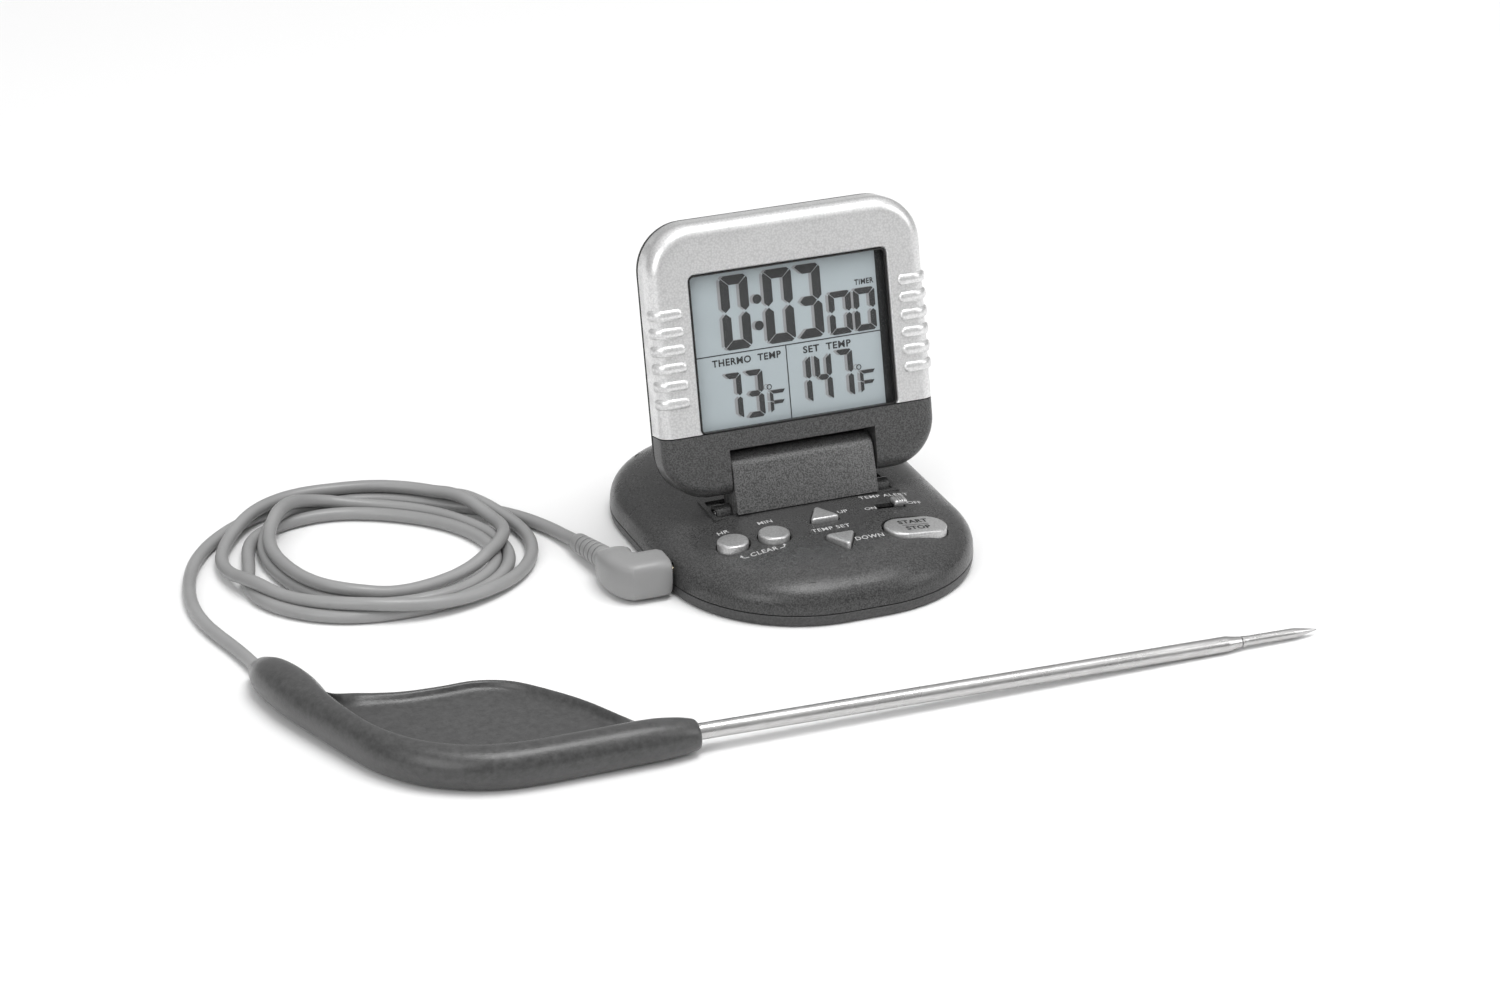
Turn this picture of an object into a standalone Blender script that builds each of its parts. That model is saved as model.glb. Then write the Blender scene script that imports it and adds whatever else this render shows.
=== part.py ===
"""Oven probe thermometer and timer: a base with keys, a display head on a two-pivot hinge,
and a lead with a right-angle plug, a coiled cord, a soft handle and a steel probe.

Lengths are in millimetres until mesh_object writes them in metres. +X is the base's right,
-Y its front and +Z up. The origin is the centre of the base's underside.
"""

from math import asin, atan2, cos, pi, radians, sin

import bmesh
import bpy
from mathutils import Vector

MM = 0.001
GAP = 0.3

# Base: a crowned slab in two shells.
BASE_HALF_X = 38.1
BASE_HALF_Y = 49.5
BASE_CORNER = 33.0
CORNER_STEPS = 9
PARTING_Z = 3.1
# Height of the outer surface at each distance in from the outline.
CROWN = ((0.0, 3.25), (0.15, 5.4), (0.4, 6.3), (0.9, 7.3), (1.6, 8.2), (2.6, 9.1),
         (4.2, 10.0), (6.2, 10.9), (9.0, 11.8), (13.0, 12.7), (18.0, 13.35), (24.0, 13.68))
CROWN_INSIDE = ((2.0, 3.25), (2.4, 7.2), (4.0, 8.8), (7.0, 10.2), (12.0, 11.5), (18.0, 12.35), (24.0, 12.7))
FLOOR_THICKNESS = 1.5

# Hinge: the leaf turns on the base, and the head turns on the leaf.
LOWER_PIVOT = (-6.9, 12.6)
LOWER_BARREL = 2.9
UPPER_BARREL = 5.0
LEAF_HALF_X = 18.2
LEAF_FOOT = (-12.2, 14.05)
PIN_RADIUS = 1.0
PIN_BORE = 1.28
POCKET_HALF_X = 22.6
KNUCKLE_X = (18.6, 22.3)
KNUCKLE_RADIUS = 2.2

# Head, in its own plane: x across, h up the face from the window's lower edge, d into the depth.
HEAD_TILT = radians(13.2)
HEAD_FOOT = (-7.1, 33.54)
HEAD_HALF_X = 34.9
HEAD_LOW = -15.5
HEAD_HIGH = 50.5
HEAD_CORNER = 11.5
HEAD_FRONT_DEPTH = 8.0
HEAD_DEPTH = 12.0
HEAD_FRONT_ROUND = 3.4
HEAD_REAR_ROUND = 3.6
HEAD_WALL = 1.8
UPPER_PIVOT_H = -10.9
UPPER_PIVOT_D = 5.3
WINDOW_HALF_X = 25.3
WINDOW_HIGH = 38.5
SEAM_H = 0.25
NOTCH_HALF_X = 18.7
NOTCH_TOP = -5.4
NOTCH_LIP = -4.3
NOTCH_LIP_DEPTH = 4.3
REAR_NOTCH_TOP = -6.2
RIB_CENTRES_H = [8.7 + 4.25 * row for row in range(6)]
RIB_X = 31.6

# Keys: place, half size and height of the top.
KEY_TRAVEL = 0.8
KEY_FOOT_Z = 8.5
ROUND_KEY_RADIUS = 3.75
SWITCH_X = 20.3
SWITCH_Y = -19.2
SWITCH_TRAVEL = 4.5

# Battery, jack and lead.
BATTERY_Y = 22.0
BATTERY_Z = 6.5
BATTERY_RADIUS = 5.2
BATTERY_HALF = 22.25
PLUG_Y = -17.8
PLUG_Z = 5.45
PLUG_RADIUS = 4.95
PLUG_FACE_X = -38.5
ELBOW_X = -48.4
CORD_RADIUS = 1.6
CORD_Z = 1.65
COIL_CENTRE = (-97.0, 24.0)
COIL_OUTER = 34.0
COIL_INNER = 22.2
COIL_HEIGHT = 7.6

# Probe: a straight stem that comes down from the handle to the surface at its tip.
STEM_START = Vector((-58.0, -95.0, 4.9))
STEM_END = Vector((93.0, -95.0, 1.45))
STEM_RADIUS = 1.9
TIP_RADIUS = 1.2


def clear_scene():
    for item in list(bpy.data.objects):
        bpy.data.objects.remove(item, do_unlink=True)


def finish(name, colour, roughness, metallic=0.0, alpha=1.0):
    """A Principled material."""
    made = bpy.data.materials.new(name)
    made.use_nodes = True
    shader = made.node_tree.nodes["Principled BSDF"]
    shader.inputs["Base Color"].default_value = (*colour, 1.0)
    shader.inputs["Roughness"].default_value = roughness
    shader.inputs["Metallic"].default_value = metallic
    shader.inputs["Alpha"].default_value = alpha
    made.diffuse_color = (*colour, alpha)
    return made


# --- outlines and solids, all in millimetres -------------------------------------------------


def rounded_rectangle(half_x, half_y, radius, centre=(0.0, 0.0), steps=CORNER_STEPS):
    """Points round a rectangle with round corners, anticlockwise."""
    points = []
    radius = max(radius, 0.2)
    for corner in range(4):
        side_x = 1 if corner in (0, 3) else -1
        side_y = 1 if corner in (0, 1) else -1
        for step in range(steps + 1):
            turn = radians(90 * corner + 90 * step / steps)
            points.append((centre[0] + side_x * (half_x - radius) + radius * cos(turn),
                           centre[1] + side_y * (half_y - radius) + radius * sin(turn)))
    return points


def circle(radius, steps, centre=(0.0, 0.0)):
    turns = [2 * pi * step / steps for step in range(steps)]
    return [(centre[0] + radius * cos(turn), centre[1] + radius * sin(turn)) for turn in turns]


def arc(centre, radius, start, end, steps):
    """Points on an arc from one angle to another, both in degrees."""
    turns = [radians(start + (end - start) * step / steps) for step in range(steps + 1)]
    return [(centre[0] + radius * cos(turn), centre[1] + radius * sin(turn)) for turn in turns]


def loft(rings, closed=False):
    """Points and faces of a solid through rings of equal counts, with flat ends or joined up."""
    count = len(rings[0])
    points = [point for ring in rings for point in ring]
    faces = []
    spans = len(rings) if closed else len(rings) - 1
    for span in range(spans):
        this = span * count
        following = ((span + 1) % len(rings)) * count
        for step in range(count):
            after = (step + 1) % count
            faces.append((this + step, this + after, following + after, following + step))
    if not closed:
        faces.append(tuple(range(count)))
        faces.append(tuple(range(len(points) - count, len(points))))
    return points, faces


def along_z(outline, low, high):
    return loft([[(x, y, z) for x, y in outline] for z in (low, high)])


def along_x(outline, low, high):
    """A solid of one outline in y and z, from one x to another."""
    return loft([[(x, y, z) for y, z in outline] for x in (low, high)])


def box(low, high):
    outline = [(low[0], low[1]), (high[0], low[1]), (high[0], high[1]), (low[0], high[1])]
    return along_z(outline, low[2], high[2])


def turned(start, end, profile, steps=16, hollow=False):
    """A turned solid about the line from start to end. The profile holds (radius, distance)
    pairs. A hollow one's profile goes out along the wall and back inside it."""
    start = Vector(start)
    direction = (Vector(end) - start).normalized()
    side = direction.orthogonal().normalized()
    other = direction.cross(side)
    rings = []
    for radius, distance in profile:
        middle = start + direction * distance
        ring = [middle + side * x + other * y for x, y in circle(radius, steps)]
        rings.append([tuple(point) for point in ring])
    return loft(rings, closed=hollow)


def together(solids):
    """Several solids as one set of points and faces."""
    points = []
    faces = []
    for some_points, some_faces in solids:
        start = len(points)
        points += list(some_points)
        faces += [tuple(start + index for index in face) for face in some_faces]
    return points, faces


def head_place(x, h, d):
    """A point of the head's own plane, in the object's frame."""
    y = HEAD_FOOT[0] + h * sin(HEAD_TILT) + d * cos(HEAD_TILT)
    z = HEAD_FOOT[1] + h * cos(HEAD_TILT) - d * sin(HEAD_TILT)
    return (x, y, z)


def in_head(solid):
    """A solid given as x, h and d, moved to where the head stands."""
    points, faces = solid
    return [head_place(*point) for point in points], faces


UPPER_PIVOT = head_place(0.0, UPPER_PIVOT_H, UPPER_PIVOT_D)[1:]


# --- objects ---------------------------------------------------------------------------------


def pivot(name, place):
    """An empty on a joint's axis, which carries the pieces that move with it."""
    made = bpy.data.objects.new(name, None)
    made.empty_display_size = 0.01
    made.location = Vector(place) * MM
    bpy.context.collection.objects.link(made)
    return made


def mesh_object(name, solid, look, origin=(0.0, 0.0, 0.0), parent=None, smooth=30.0):
    """One named piece, with its origin where asked and its faces turned outwards."""
    points, faces = solid
    mesh = bpy.data.meshes.new(name)
    shift = Vector(parent.location) / MM if parent else Vector(origin)
    mesh.from_pydata([(Vector(point) - shift) * MM for point in points], [], faces)
    work = bmesh.new()
    work.from_mesh(mesh)
    bmesh.ops.recalc_face_normals(work, faces=work.faces)
    work.to_mesh(mesh)
    work.free()
    mesh.shade_smooth()
    mesh.set_sharp_from_angle(angle=radians(smooth))
    made = bpy.data.objects.new(name, mesh)
    if look:
        mesh.materials.append(look)
    if parent:
        made.parent = parent
    else:
        made.location = shift * MM
    bpy.context.collection.objects.link(made)
    return made


def cutter(name, solids, parent=None):
    """A helper for a Boolean: it is never a piece of the object."""
    made = mesh_object(name, together(solids), None, parent=parent)
    made.hide_render = True
    made.display_type = "WIRE"
    return made


def boolean(target, helper, operation):
    modifier = target.modifiers.new(operation.lower() + "_" + helper.name, "BOOLEAN")
    modifier.operation = operation
    modifier.solver = "EXACT"
    modifier.object = helper


# --- base ------------------------------------------------------------------------------------


def base_outline(inset):
    return rounded_rectangle(BASE_HALF_X - inset, BASE_HALF_Y - inset, BASE_CORNER - inset)


def base_ring(inset, z):
    return [(x, y, z) for x, y in base_outline(inset)]


SCREW_PLACES = ((-12.0, -42.5), (12.0, -42.5), (-24.0, 36.0), (24.0, 36.0))
BOSS_RADIUS = 2.3
SCREW_RADIUS = 0.9
SCREW_BORE = 1.2
SCREW_HEAD = 1.9
SCREW_SINK = 2.3
POCKET_Y = (-10.35, -1.0)
POCKET_FLOOR = 9.4
DOOR_HALF_X = 27.0
DOOR_Y = (14.5, 29.5)


def top_shell(look):
    """The crowned upper shell, with the hinge's pocket, key holes, switch slot and jack hole."""
    inside = [base_ring(inset, z) for inset, z in reversed(CROWN_INSIDE)]
    outside = [base_ring(inset, z) for inset, z in CROWN]
    shell = mesh_object("base_top_shell", loft(inside + outside), look)

    walls = box((-POCKET_HALF_X - 1.2, POCKET_Y[0] - 1.2, POCKET_FLOOR - 1.2),
                (POCKET_HALF_X + 1.2, POCKET_Y[1] + 1.2, 13.3))
    bosses = []
    for x, y in SCREW_PLACES:
        bosses.append(along_z(circle(BOSS_RADIUS, 12, (x, y)), PARTING_Z + 0.3, 9.9))
    boolean(shell, cutter("shell_additions", [walls] + bosses), "UNION")
    pocket = box((-POCKET_HALF_X, POCKET_Y[0], POCKET_FLOOR), (POCKET_HALF_X, POCKET_Y[1], 20.0))
    boolean(shell, cutter("hinge_pocket", [pocket]), "DIFFERENCE")

    knuckles = []
    for side in (-1, 1):
        over = arc(LOWER_PIVOT, KNUCKLE_RADIUS, 0, 180, 8)
        foot = [(over[-1][0], POCKET_FLOOR - 0.4), (over[0][0], POCKET_FLOOR - 0.4)]
        knuckles.append(along_x(over + foot, side * KNUCKLE_X[0], side * KNUCKLE_X[1]))
    boolean(shell, cutter("hinge_knuckles", knuckles), "UNION")

    holes = []
    for x, y in SCREW_PLACES:
        holes.append(along_z(circle(SCREW_BORE, 10, (x, y)), 0.0, 8.9))
    for side in (-1, 1):
        bore = circle(PIN_BORE, 12, LOWER_PIVOT)
        holes.append(along_x(bore, side * (KNUCKLE_X[0] - 0.5), side * (KNUCKLE_X[1] + 0.4)))
    for outline in key_outlines(GAP).values():
        holes.append(along_z(outline, KEY_FOOT_Z - 0.2, 20.0))
    slot_end = SWITCH_X - SWITCH_TRAVEL - 1.4
    holes.append(box((slot_end, SWITCH_Y - 1.3, 10.0), (SWITCH_X + 1.4, SWITCH_Y + 1.3, 20.0)))
    jack_hole = circle(2.0, 16, (PLUG_Y, PLUG_Z))
    holes.append(along_x(jack_hole, -BASE_HALF_X - 2.0, -BASE_HALF_X + 3.5))
    boolean(shell, cutter("shell_openings", holes), "DIFFERENCE")


def bottom_cover(look):
    """The shallow lower shell, with its screw bosses and the battery opening."""
    rings = [base_ring(3.0, FLOOR_THICKNESS), base_ring(2.0, PARTING_Z - 0.15),
             base_ring(0.0, PARTING_Z - 0.15), base_ring(0.3, 0.6), base_ring(0.9, 0.0)]
    cover = mesh_object("base_bottom_cover", loft(rings), look)
    pads = [along_z(circle(3.2, 14, place), 1.0, PARTING_Z - 0.1) for place in SCREW_PLACES]
    boolean(cover, cutter("cover_pads", pads), "UNION")
    holes = []
    for place in SCREW_PLACES:
        sink = along_z(circle(SCREW_SINK, 14, place), -1.0, 1.4)
        holes.append(sink)
    boolean(cover, cutter("cover_sinks", holes), "DIFFERENCE")
    bores = [along_z(circle(SCREW_BORE, 10, place), -2.0, 6.0) for place in SCREW_PLACES]
    opening = box((-DOOR_HALF_X - GAP, DOOR_Y[0] - GAP, -1.0), (DOOR_HALF_X + GAP, DOOR_Y[1] + GAP, 4.0))
    boolean(cover, cutter("cover_openings", bores + [opening]), "DIFFERENCE")


def screw(name, start, end, sunk, length, look, origin, parent=None):
    """A self-tapping screw: a pan head and a plain core, along the line from start to end."""
    profile = ((0.9, sunk), (SCREW_HEAD - 0.3, sunk), (SCREW_HEAD, sunk + 0.35), (SCREW_HEAD, sunk + 1.0),
               (SCREW_RADIUS, sunk + 1.0), (SCREW_RADIUS, length - 0.8), (0.4, length))
    solid = turned(start, end, profile, 10)
    if parent:
        mesh_object(name, solid, look, parent=parent)
    else:
        mesh_object(name, solid, look, origin=origin)


def base_screws(look):
    for index, (x, y) in enumerate(SCREW_PLACES):
        screw(f"base_screw_{index + 1}", (x, y, 0.0), (x, y, 9.0), 0.15, 8.4, look, (x, y, 0.0))


def battery_parts(door_look, cell_look, metal_look):
    """The cell across the back of the base, its two contacts and the door under it."""
    door = box((-DOOR_HALF_X, DOOR_Y[0], 0.1), (DOOR_HALF_X, DOOR_Y[1], 1.0))
    lid = pivot("battery_door_slide", (0.0, BATTERY_Y, 0.5))
    door_object = mesh_object("battery_door", door, door_look, parent=lid)
    grip = box((-4.0, DOOR_Y[1] - 3.2, -1.0), (4.0, DOOR_Y[1] - 2.2, 0.45))
    boolean(door_object, cutter("door_grip", [grip]), "DIFFERENCE")

    start = (-BATTERY_HALF, BATTERY_Y, BATTERY_Z)
    end = (BATTERY_HALF, BATTERY_Y, BATTERY_Z)
    length = 2 * BATTERY_HALF
    cell = ((3.6, 0.0), (BATTERY_RADIUS - 0.4, 0.0), (BATTERY_RADIUS, 0.5), (BATTERY_RADIUS, length - 1.6),
            (BATTERY_RADIUS - 0.5, length - 1.1), (1.9, length - 1.1), (1.9, length))
    mesh_object("battery", turned(start, end, cell, 20), cell_look, origin=(0.0, BATTERY_Y, BATTERY_Z))

    plate = box((BATTERY_HALF + 0.3, BATTERY_Y - 4.0, 3.0), (BATTERY_HALF + 0.8, BATTERY_Y + 4.0, 9.4))
    mesh_object("battery_contact_plate", plate, metal_look, origin=(BATTERY_HALF, BATTERY_Y, BATTERY_Z))

    turns = 3.5
    steps = 49
    route = []
    for step in range(steps):
        share = step / (steps - 1)
        turn = 2 * pi * turns * share
        radius = 3.3 - 1.7 * share
        route.append((-BATTERY_HALF - 3.3 + 2.6 * share, BATTERY_Y + radius * cos(turn),
                      BATTERY_Z + radius * sin(turn)))
    tube("battery_contact_spring", route, 0.3, metal_look, 1)


def electronics(board_look, dark_look, rubber_look, brass_look, steel_look):
    """What the base holds: the board, key mat, buzzer, jack, switch and magnets."""
    jack_room = box((-40.0, PLUG_Y - 4.2, 0.0), (-26.0, PLUG_Y + 4.2, 12.0))
    board_outline = rounded_rectangle(31.0, 24.9, 20.0, (0.0, -14.9), 6)
    board = mesh_object("main_circuit_board", along_z(board_outline, 4.6, 5.8), board_look)
    boolean(board, cutter("board_jack_room", [jack_room]), "DIFFERENCE")

    mat_outline = rounded_rectangle(29.0, 12.9, 11.0, (0.0, -26.4), 5)
    mat = mesh_object("key_mat", along_z(mat_outline, 6.1, 7.0), rubber_look)
    domes = []
    for name, place in KEY_PLACES.items():
        if name != "start_stop_button":
            domes.append(along_z(circle(2.4, 10, place[:2]), 6.8, 7.5))
    boolean(mat, cutter("mat_domes", domes), "UNION")
    switch_room = box((SWITCH_X - 9.0, SWITCH_Y - 3.6, 0.0), (SWITCH_X + 4.6, SWITCH_Y + 3.6, 12.0))
    boolean(mat, cutter("mat_rooms", [jack_room, switch_room]), "DIFFERENCE")

    body = box((SWITCH_X - 8.5, SWITCH_Y - 3.2, 6.1), (SWITCH_X + 4.0, SWITCH_Y + 3.2, 8.9))
    mesh_object("alert_switch_body", body, dark_look, origin=(SWITCH_X, SWITCH_Y, 6.1))

    buzzer = ((6.0, 0.0), (8.0, 0.0), (8.0, 2.6), (7.4, 3.2), (1.0, 3.2))
    place = (0.0, 38.0, 1.8)
    mesh_object("buzzer", turned(place, (0.0, 38.0, 9.0), buzzer, 24), dark_look, origin=place)

    jack = mesh_object("probe_jack", box((-34.2, PLUG_Y - 3.6, 2.6), (-26.6, PLUG_Y + 3.6, 7.9)), dark_look)
    bore = along_x(circle(1.55, 14, (PLUG_Y, PLUG_Z)), -40.0, -27.2)
    boolean(jack, cutter("jack_bore", [bore]), "DIFFERENCE")

    for side, name in ((-1, "magnet_left"), (1, "magnet_right")):
        place = (side * 17.0, -28.0, 1.8)
        magnet = ((5.6, 0.0), (6.0, 0.4), (6.0, 1.8), (5.6, 2.2))
        mesh_object(name, turned(place, (place[0], place[1], 9.0), magnet, 20), steel_look, origin=place)


# --- keys ------------------------------------------------------------------------------------

# Middle of each key, the height of its top there, and its name.
KEY_PLACES = {
    "hr_button": (-24.3, -24.1, 13.9),
    "min_button": (-14.3, -25.2, 14.8),
    "up_button": (0.0, -19.9, 14.9),
    "down_button": (0.3, -32.6, 14.35),
    "start_stop_button": (19.5, -31.0, 13.2),
}
KEY_CROWN_SLOPE = {"hr_button": 0.05, "start_stop_button": -0.08}
TRIANGLE_HALF = 3.75
TRIANGLE_HEIGHT = 6.9
OBLONG_HALF = (7.8, 4.65)


def rounded_triangle(place, up, grow):
    """A triangle with round corners, pointing along +Y or -Y."""
    radius = 0.6 + grow
    sign = 1 if up else -1
    tops = [(0.0, TRIANGLE_HEIGHT * 0.62 - 1.2), (-TRIANGLE_HALF + 0.9, -TRIANGLE_HEIGHT * 0.38 + 0.6),
            (TRIANGLE_HALF - 0.9, -TRIANGLE_HEIGHT * 0.38 + 0.6)]
    points = []
    for corner, (x, y) in enumerate(tops):
        middle = 90 + 120 * corner
        for step in range(5):
            turn = radians(middle - 60 + 30 * step)
            points.append((place[0] + x + radius * cos(turn), place[1] + sign * (y + radius * sin(turn))))
    return points


def key_outlines(grow):
    """The outline of each key's stem, or of its hole when grown by the gap."""
    found = {}
    for name, place in KEY_PLACES.items():
        if name in ("hr_button", "min_button"):
            found[name] = circle(ROUND_KEY_RADIUS + grow, 24, place[:2])
        elif name == "start_stop_button":
            half_x, half_y = OBLONG_HALF
            found[name] = rounded_rectangle(half_x + grow, half_y + grow, half_y + grow, place[:2], 7)
        else:
            found[name] = rounded_triangle(place, name == "up_button", grow)
    return found


def shrunk(outline, place, amount):
    """An outline drawn in towards a point by a length."""
    points = []
    for x, y in outline:
        away = Vector((x - place[0], y - place[1]))
        kept = away * (1 - amount / away.length)
        points.append((place[0] + kept.x, place[1] + kept.y))
    return points


def keys(look):
    """Each key: a cap with a bevelled top, a flange that holds it in and a foot on the mat."""
    for name, outline in key_outlines(0.0).items():
        x, y, top = KEY_PLACES[name]
        slope = KEY_CROWN_SLOPE.get(name, 0.0)
        stem_low = 9.9 if name != "start_stop_button" else 8.5
        flange = shrunk(outline, (x, y), -0.5)
        rings = []
        for ring, z in ((flange, stem_low - 0.55), (flange, stem_low), (outline, stem_low)):
            rings.append([(px, py, z) for px, py in ring])
        for inset, drop in ((0.0, 0.5), (0.15, 0.17), (0.5, 0.0)):
            ring = shrunk(outline, (x, y), inset)
            rings.append([(px, py, top - drop + slope * (px - x)) for px, py in ring])
        foot = along_z(circle(1.5, 10, (x, y)), min(KEY_FOOT_Z, stem_low - 0.1), stem_low + 0.3)
        slide = pivot(name + "_slide", (x, y, top))
        key = mesh_object(name, loft(rings), look, parent=slide)
        boolean(key, cutter(name + "_foot", [foot], slide), "UNION")


def switch_knob(look):
    slide = pivot("alert_switch_slide", (SWITCH_X, SWITCH_Y, 13.6))
    low = rounded_rectangle(1.65, 1.65, 0.5, (SWITCH_X, SWITCH_Y), 2)
    high = rounded_rectangle(1.3, 1.3, 0.5, (SWITCH_X, SWITCH_Y), 2)
    rings = [[(x, y, 13.75) for x, y in low], [(x, y, 14.5) for x, y in low], [(x, y, 14.9) for x, y in high]]
    knob = mesh_object("alert_switch_knob", loft(rings), look, parent=slide)
    stem = box((SWITCH_X - 1.0, SWITCH_Y - 0.95, 9.2), (SWITCH_X + 1.0, SWITCH_Y + 0.95, 14.2))
    boolean(knob, cutter("knob_stem", [stem], slide), "UNION")


# --- hinge -----------------------------------------------------------------------------------


def leaf_outline():
    """The link's side view: a flat front plate that rolls over the upper pin and tapers down
    its back to the lower pin."""
    front = head_place(0.0, UPPER_PIVOT_H + 2.0, UPPER_PIVOT_D - 4.58)[1:]
    lean = Vector((UPPER_PIVOT[0] - LOWER_PIVOT[0], UPPER_PIVOT[1] - LOWER_PIVOT[1]))
    spread = asin((UPPER_BARREL - LOWER_BARREL) / lean.length)
    back = atan2(lean.y, lean.x) - pi / 2 - spread
    back_angle = back * 180 / pi
    front_angle = atan2(front[1] - UPPER_PIVOT[1], front[0] - UPPER_PIVOT[0]) * 180 / pi
    upper = arc(UPPER_PIVOT, UPPER_BARREL, front_angle, back_angle, 12)
    sole_angle = 180 - asin((LEAF_FOOT[1] - LOWER_PIVOT[1]) / LOWER_BARREL) * 180 / pi
    lower = arc(LOWER_PIVOT, LOWER_BARREL, back_angle, sole_angle - 360, 10)
    return [LEAF_FOOT] + upper + lower


def hinge(leaf_look, pin_look):
    turning = pivot("leaf_pivot", (0.0, *LOWER_PIVOT))
    plate = along_x(leaf_outline(), -LEAF_HALF_X, LEAF_HALF_X)
    leaf = mesh_object("hinge_leaf", plate, leaf_look, parent=turning)
    bores = [along_x(circle(PIN_BORE, 12, centre), -30.0, 30.0) for centre in (LOWER_PIVOT, UPPER_PIVOT)]
    boolean(leaf, cutter("leaf_bores", bores, turning), "DIFFERENCE")
    for name, centre, half, carrier in (("lower_hinge_pin", LOWER_PIVOT, 22.3, None),
                                        ("upper_hinge_pin", UPPER_PIVOT, 24.0, turning)):
        profile = ((PIN_RADIUS - 0.25, 0.0), (PIN_RADIUS, 0.3), (PIN_RADIUS, 2 * half - 0.3),
                   (PIN_RADIUS - 0.25, 2 * half))
        solid = turned((-half, *centre), (half, *centre), profile, 12)
        mesh_object(name, solid, pin_look, origin=(0.0, *centre), parent=carrier)


# --- head ------------------------------------------------------------------------------------


def head_ring(inset, depth):
    """The head's outline at a depth, drawn in by an inset."""
    centre = (0.0, (HEAD_LOW + HEAD_HIGH) / 2)
    half_h = (HEAD_HIGH - HEAD_LOW) / 2
    outline = rounded_rectangle(HEAD_HALF_X - inset, half_h - inset, HEAD_CORNER - inset, centre, 7)
    return [(x, h, depth) for x, h in outline]


def rounded_edge(radius, steps):
    """(inset, depth) pairs round an edge, from the side to the face."""
    turns = [radians(90 * step / steps) for step in range(steps + 1)]
    return [(radius * (1 - cos(turn)), radius * (1 - sin(turn))) for turn in turns]


def front_block(hollow):
    """The front half of the head over its whole outline, as a shell or as a solid."""
    outside = [head_ring(0.0, HEAD_FRONT_DEPTH)]
    outside += [head_ring(inset, depth) for inset, depth in rounded_edge(HEAD_FRONT_ROUND, 5)]
    if not hollow:
        return loft(outside)
    inside = [head_ring(5.0, HEAD_WALL), head_ring(3.0, 2.6), head_ring(HEAD_WALL, 4.2),
              head_ring(HEAD_WALL, HEAD_FRONT_DEPTH)]
    return loft(inside + outside)


def head_box(low, high):
    return in_head(box(low, high))


def window_opening(grow, low_depth, high_depth):
    middle = WINDOW_HIGH / 2
    outline = rounded_rectangle(WINDOW_HALF_X + grow, middle + grow, 1.5 + grow, (0.0, middle), 3)
    return loft([[(x, h, depth) for x, h in outline] for depth in (low_depth, high_depth)])


HEAD_SCREWS = ((-30.3, 5.0), (30.3, 5.0), (-30.3, 44.0), (30.3, 44.0))
TRAY_HALF_X = 27.9
TRAY_H = (1.5, 47.5)
TRAY_DEPTH = 10.8
FAR = 90.0


def head_bezel(look, parent):
    """The silver frame: an inverted U round the window, with six grip ribs down each side."""
    bezel = mesh_object("head_bezel", in_head(front_block(True)), look, parent=parent)
    ribs = []
    for h in RIB_CENTRES_H:
        for side in (-1, 1):
            centre = (side * RIB_X, h)
            low = rounded_rectangle(3.5, 1.1, 1.1, centre, 3)
            high = rounded_rectangle(3.0, 0.6, 0.6, centre, 3)
            rings = [[(x, up, depth) for x, up in outline]
                     for outline, depth in ((low, 1.0), (low, -0.15), (high, -0.55))]
            ribs.append(in_head(loft(rings)))
    bosses = []
    for x, h in HEAD_SCREWS:
        bosses.append(in_head(loft([[(px, ph, depth) for px, ph in circle(BOSS_RADIUS, 12, (x, h))]
                                    for depth in (1.4, HEAD_FRONT_DEPTH - 0.2)])))
    boolean(bezel, cutter("bezel_additions", ribs + bosses, parent), "UNION")
    below = head_box((-FAR, -FAR, -FAR), (FAR, SEAM_H + 0.15, FAR))
    boolean(bezel, cutter("bezel_below", [below], parent), "DIFFERENCE")
    openings = [in_head(window_opening(0.0, -5.0, 4.0))]
    for x, h in HEAD_SCREWS:
        openings.append(in_head(loft([[(px, ph, depth) for px, ph in circle(SCREW_BORE, 10, (x, h))]
                                      for depth in (3.0, 20.0)])))
    boolean(bezel, cutter("bezel_openings", openings, parent), "DIFFERENCE")


def chin_notch():
    """The space that the hinge's link fills, open through the chin and below it."""
    side = ((-FAR, -5.0), (NOTCH_LIP, -5.0), (NOTCH_LIP, NOTCH_LIP_DEPTH), (NOTCH_TOP, NOTCH_LIP_DEPTH),
            (NOTCH_TOP, FAR), (-FAR, FAR))
    return in_head(loft([[(x, h, d) for h, d in side] for x in (-NOTCH_HALF_X, NOTCH_HALF_X)]))


def pin_sockets():
    found = []
    for side in (-1, 1):
        outline = circle(PIN_BORE, 12, UPPER_PIVOT)
        found.append(along_x(outline, side * (NOTCH_HALF_X - 0.5), side * 24.3))
    return found


def head_chin(look, parent):
    """The dark lower front of the head, notched for the hinge's link."""
    chin = mesh_object("head_chin", in_head(front_block(False)), look, parent=parent)
    above = head_box((-FAR, SEAM_H - 0.15, -FAR), (FAR, FAR, FAR))
    ledge = head_box((-28.5, -2.4, 1.9), (28.5, 5.0, FAR))
    boolean(chin, cutter("chin_above", [above], parent), "DIFFERENCE")
    boolean(chin, cutter("chin_ledge", [ledge], parent), "DIFFERENCE")
    boolean(chin, cutter("chin_notch", [chin_notch()], parent), "DIFFERENCE")
    boolean(chin, cutter("chin_sockets", pin_sockets(), parent), "DIFFERENCE")


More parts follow.
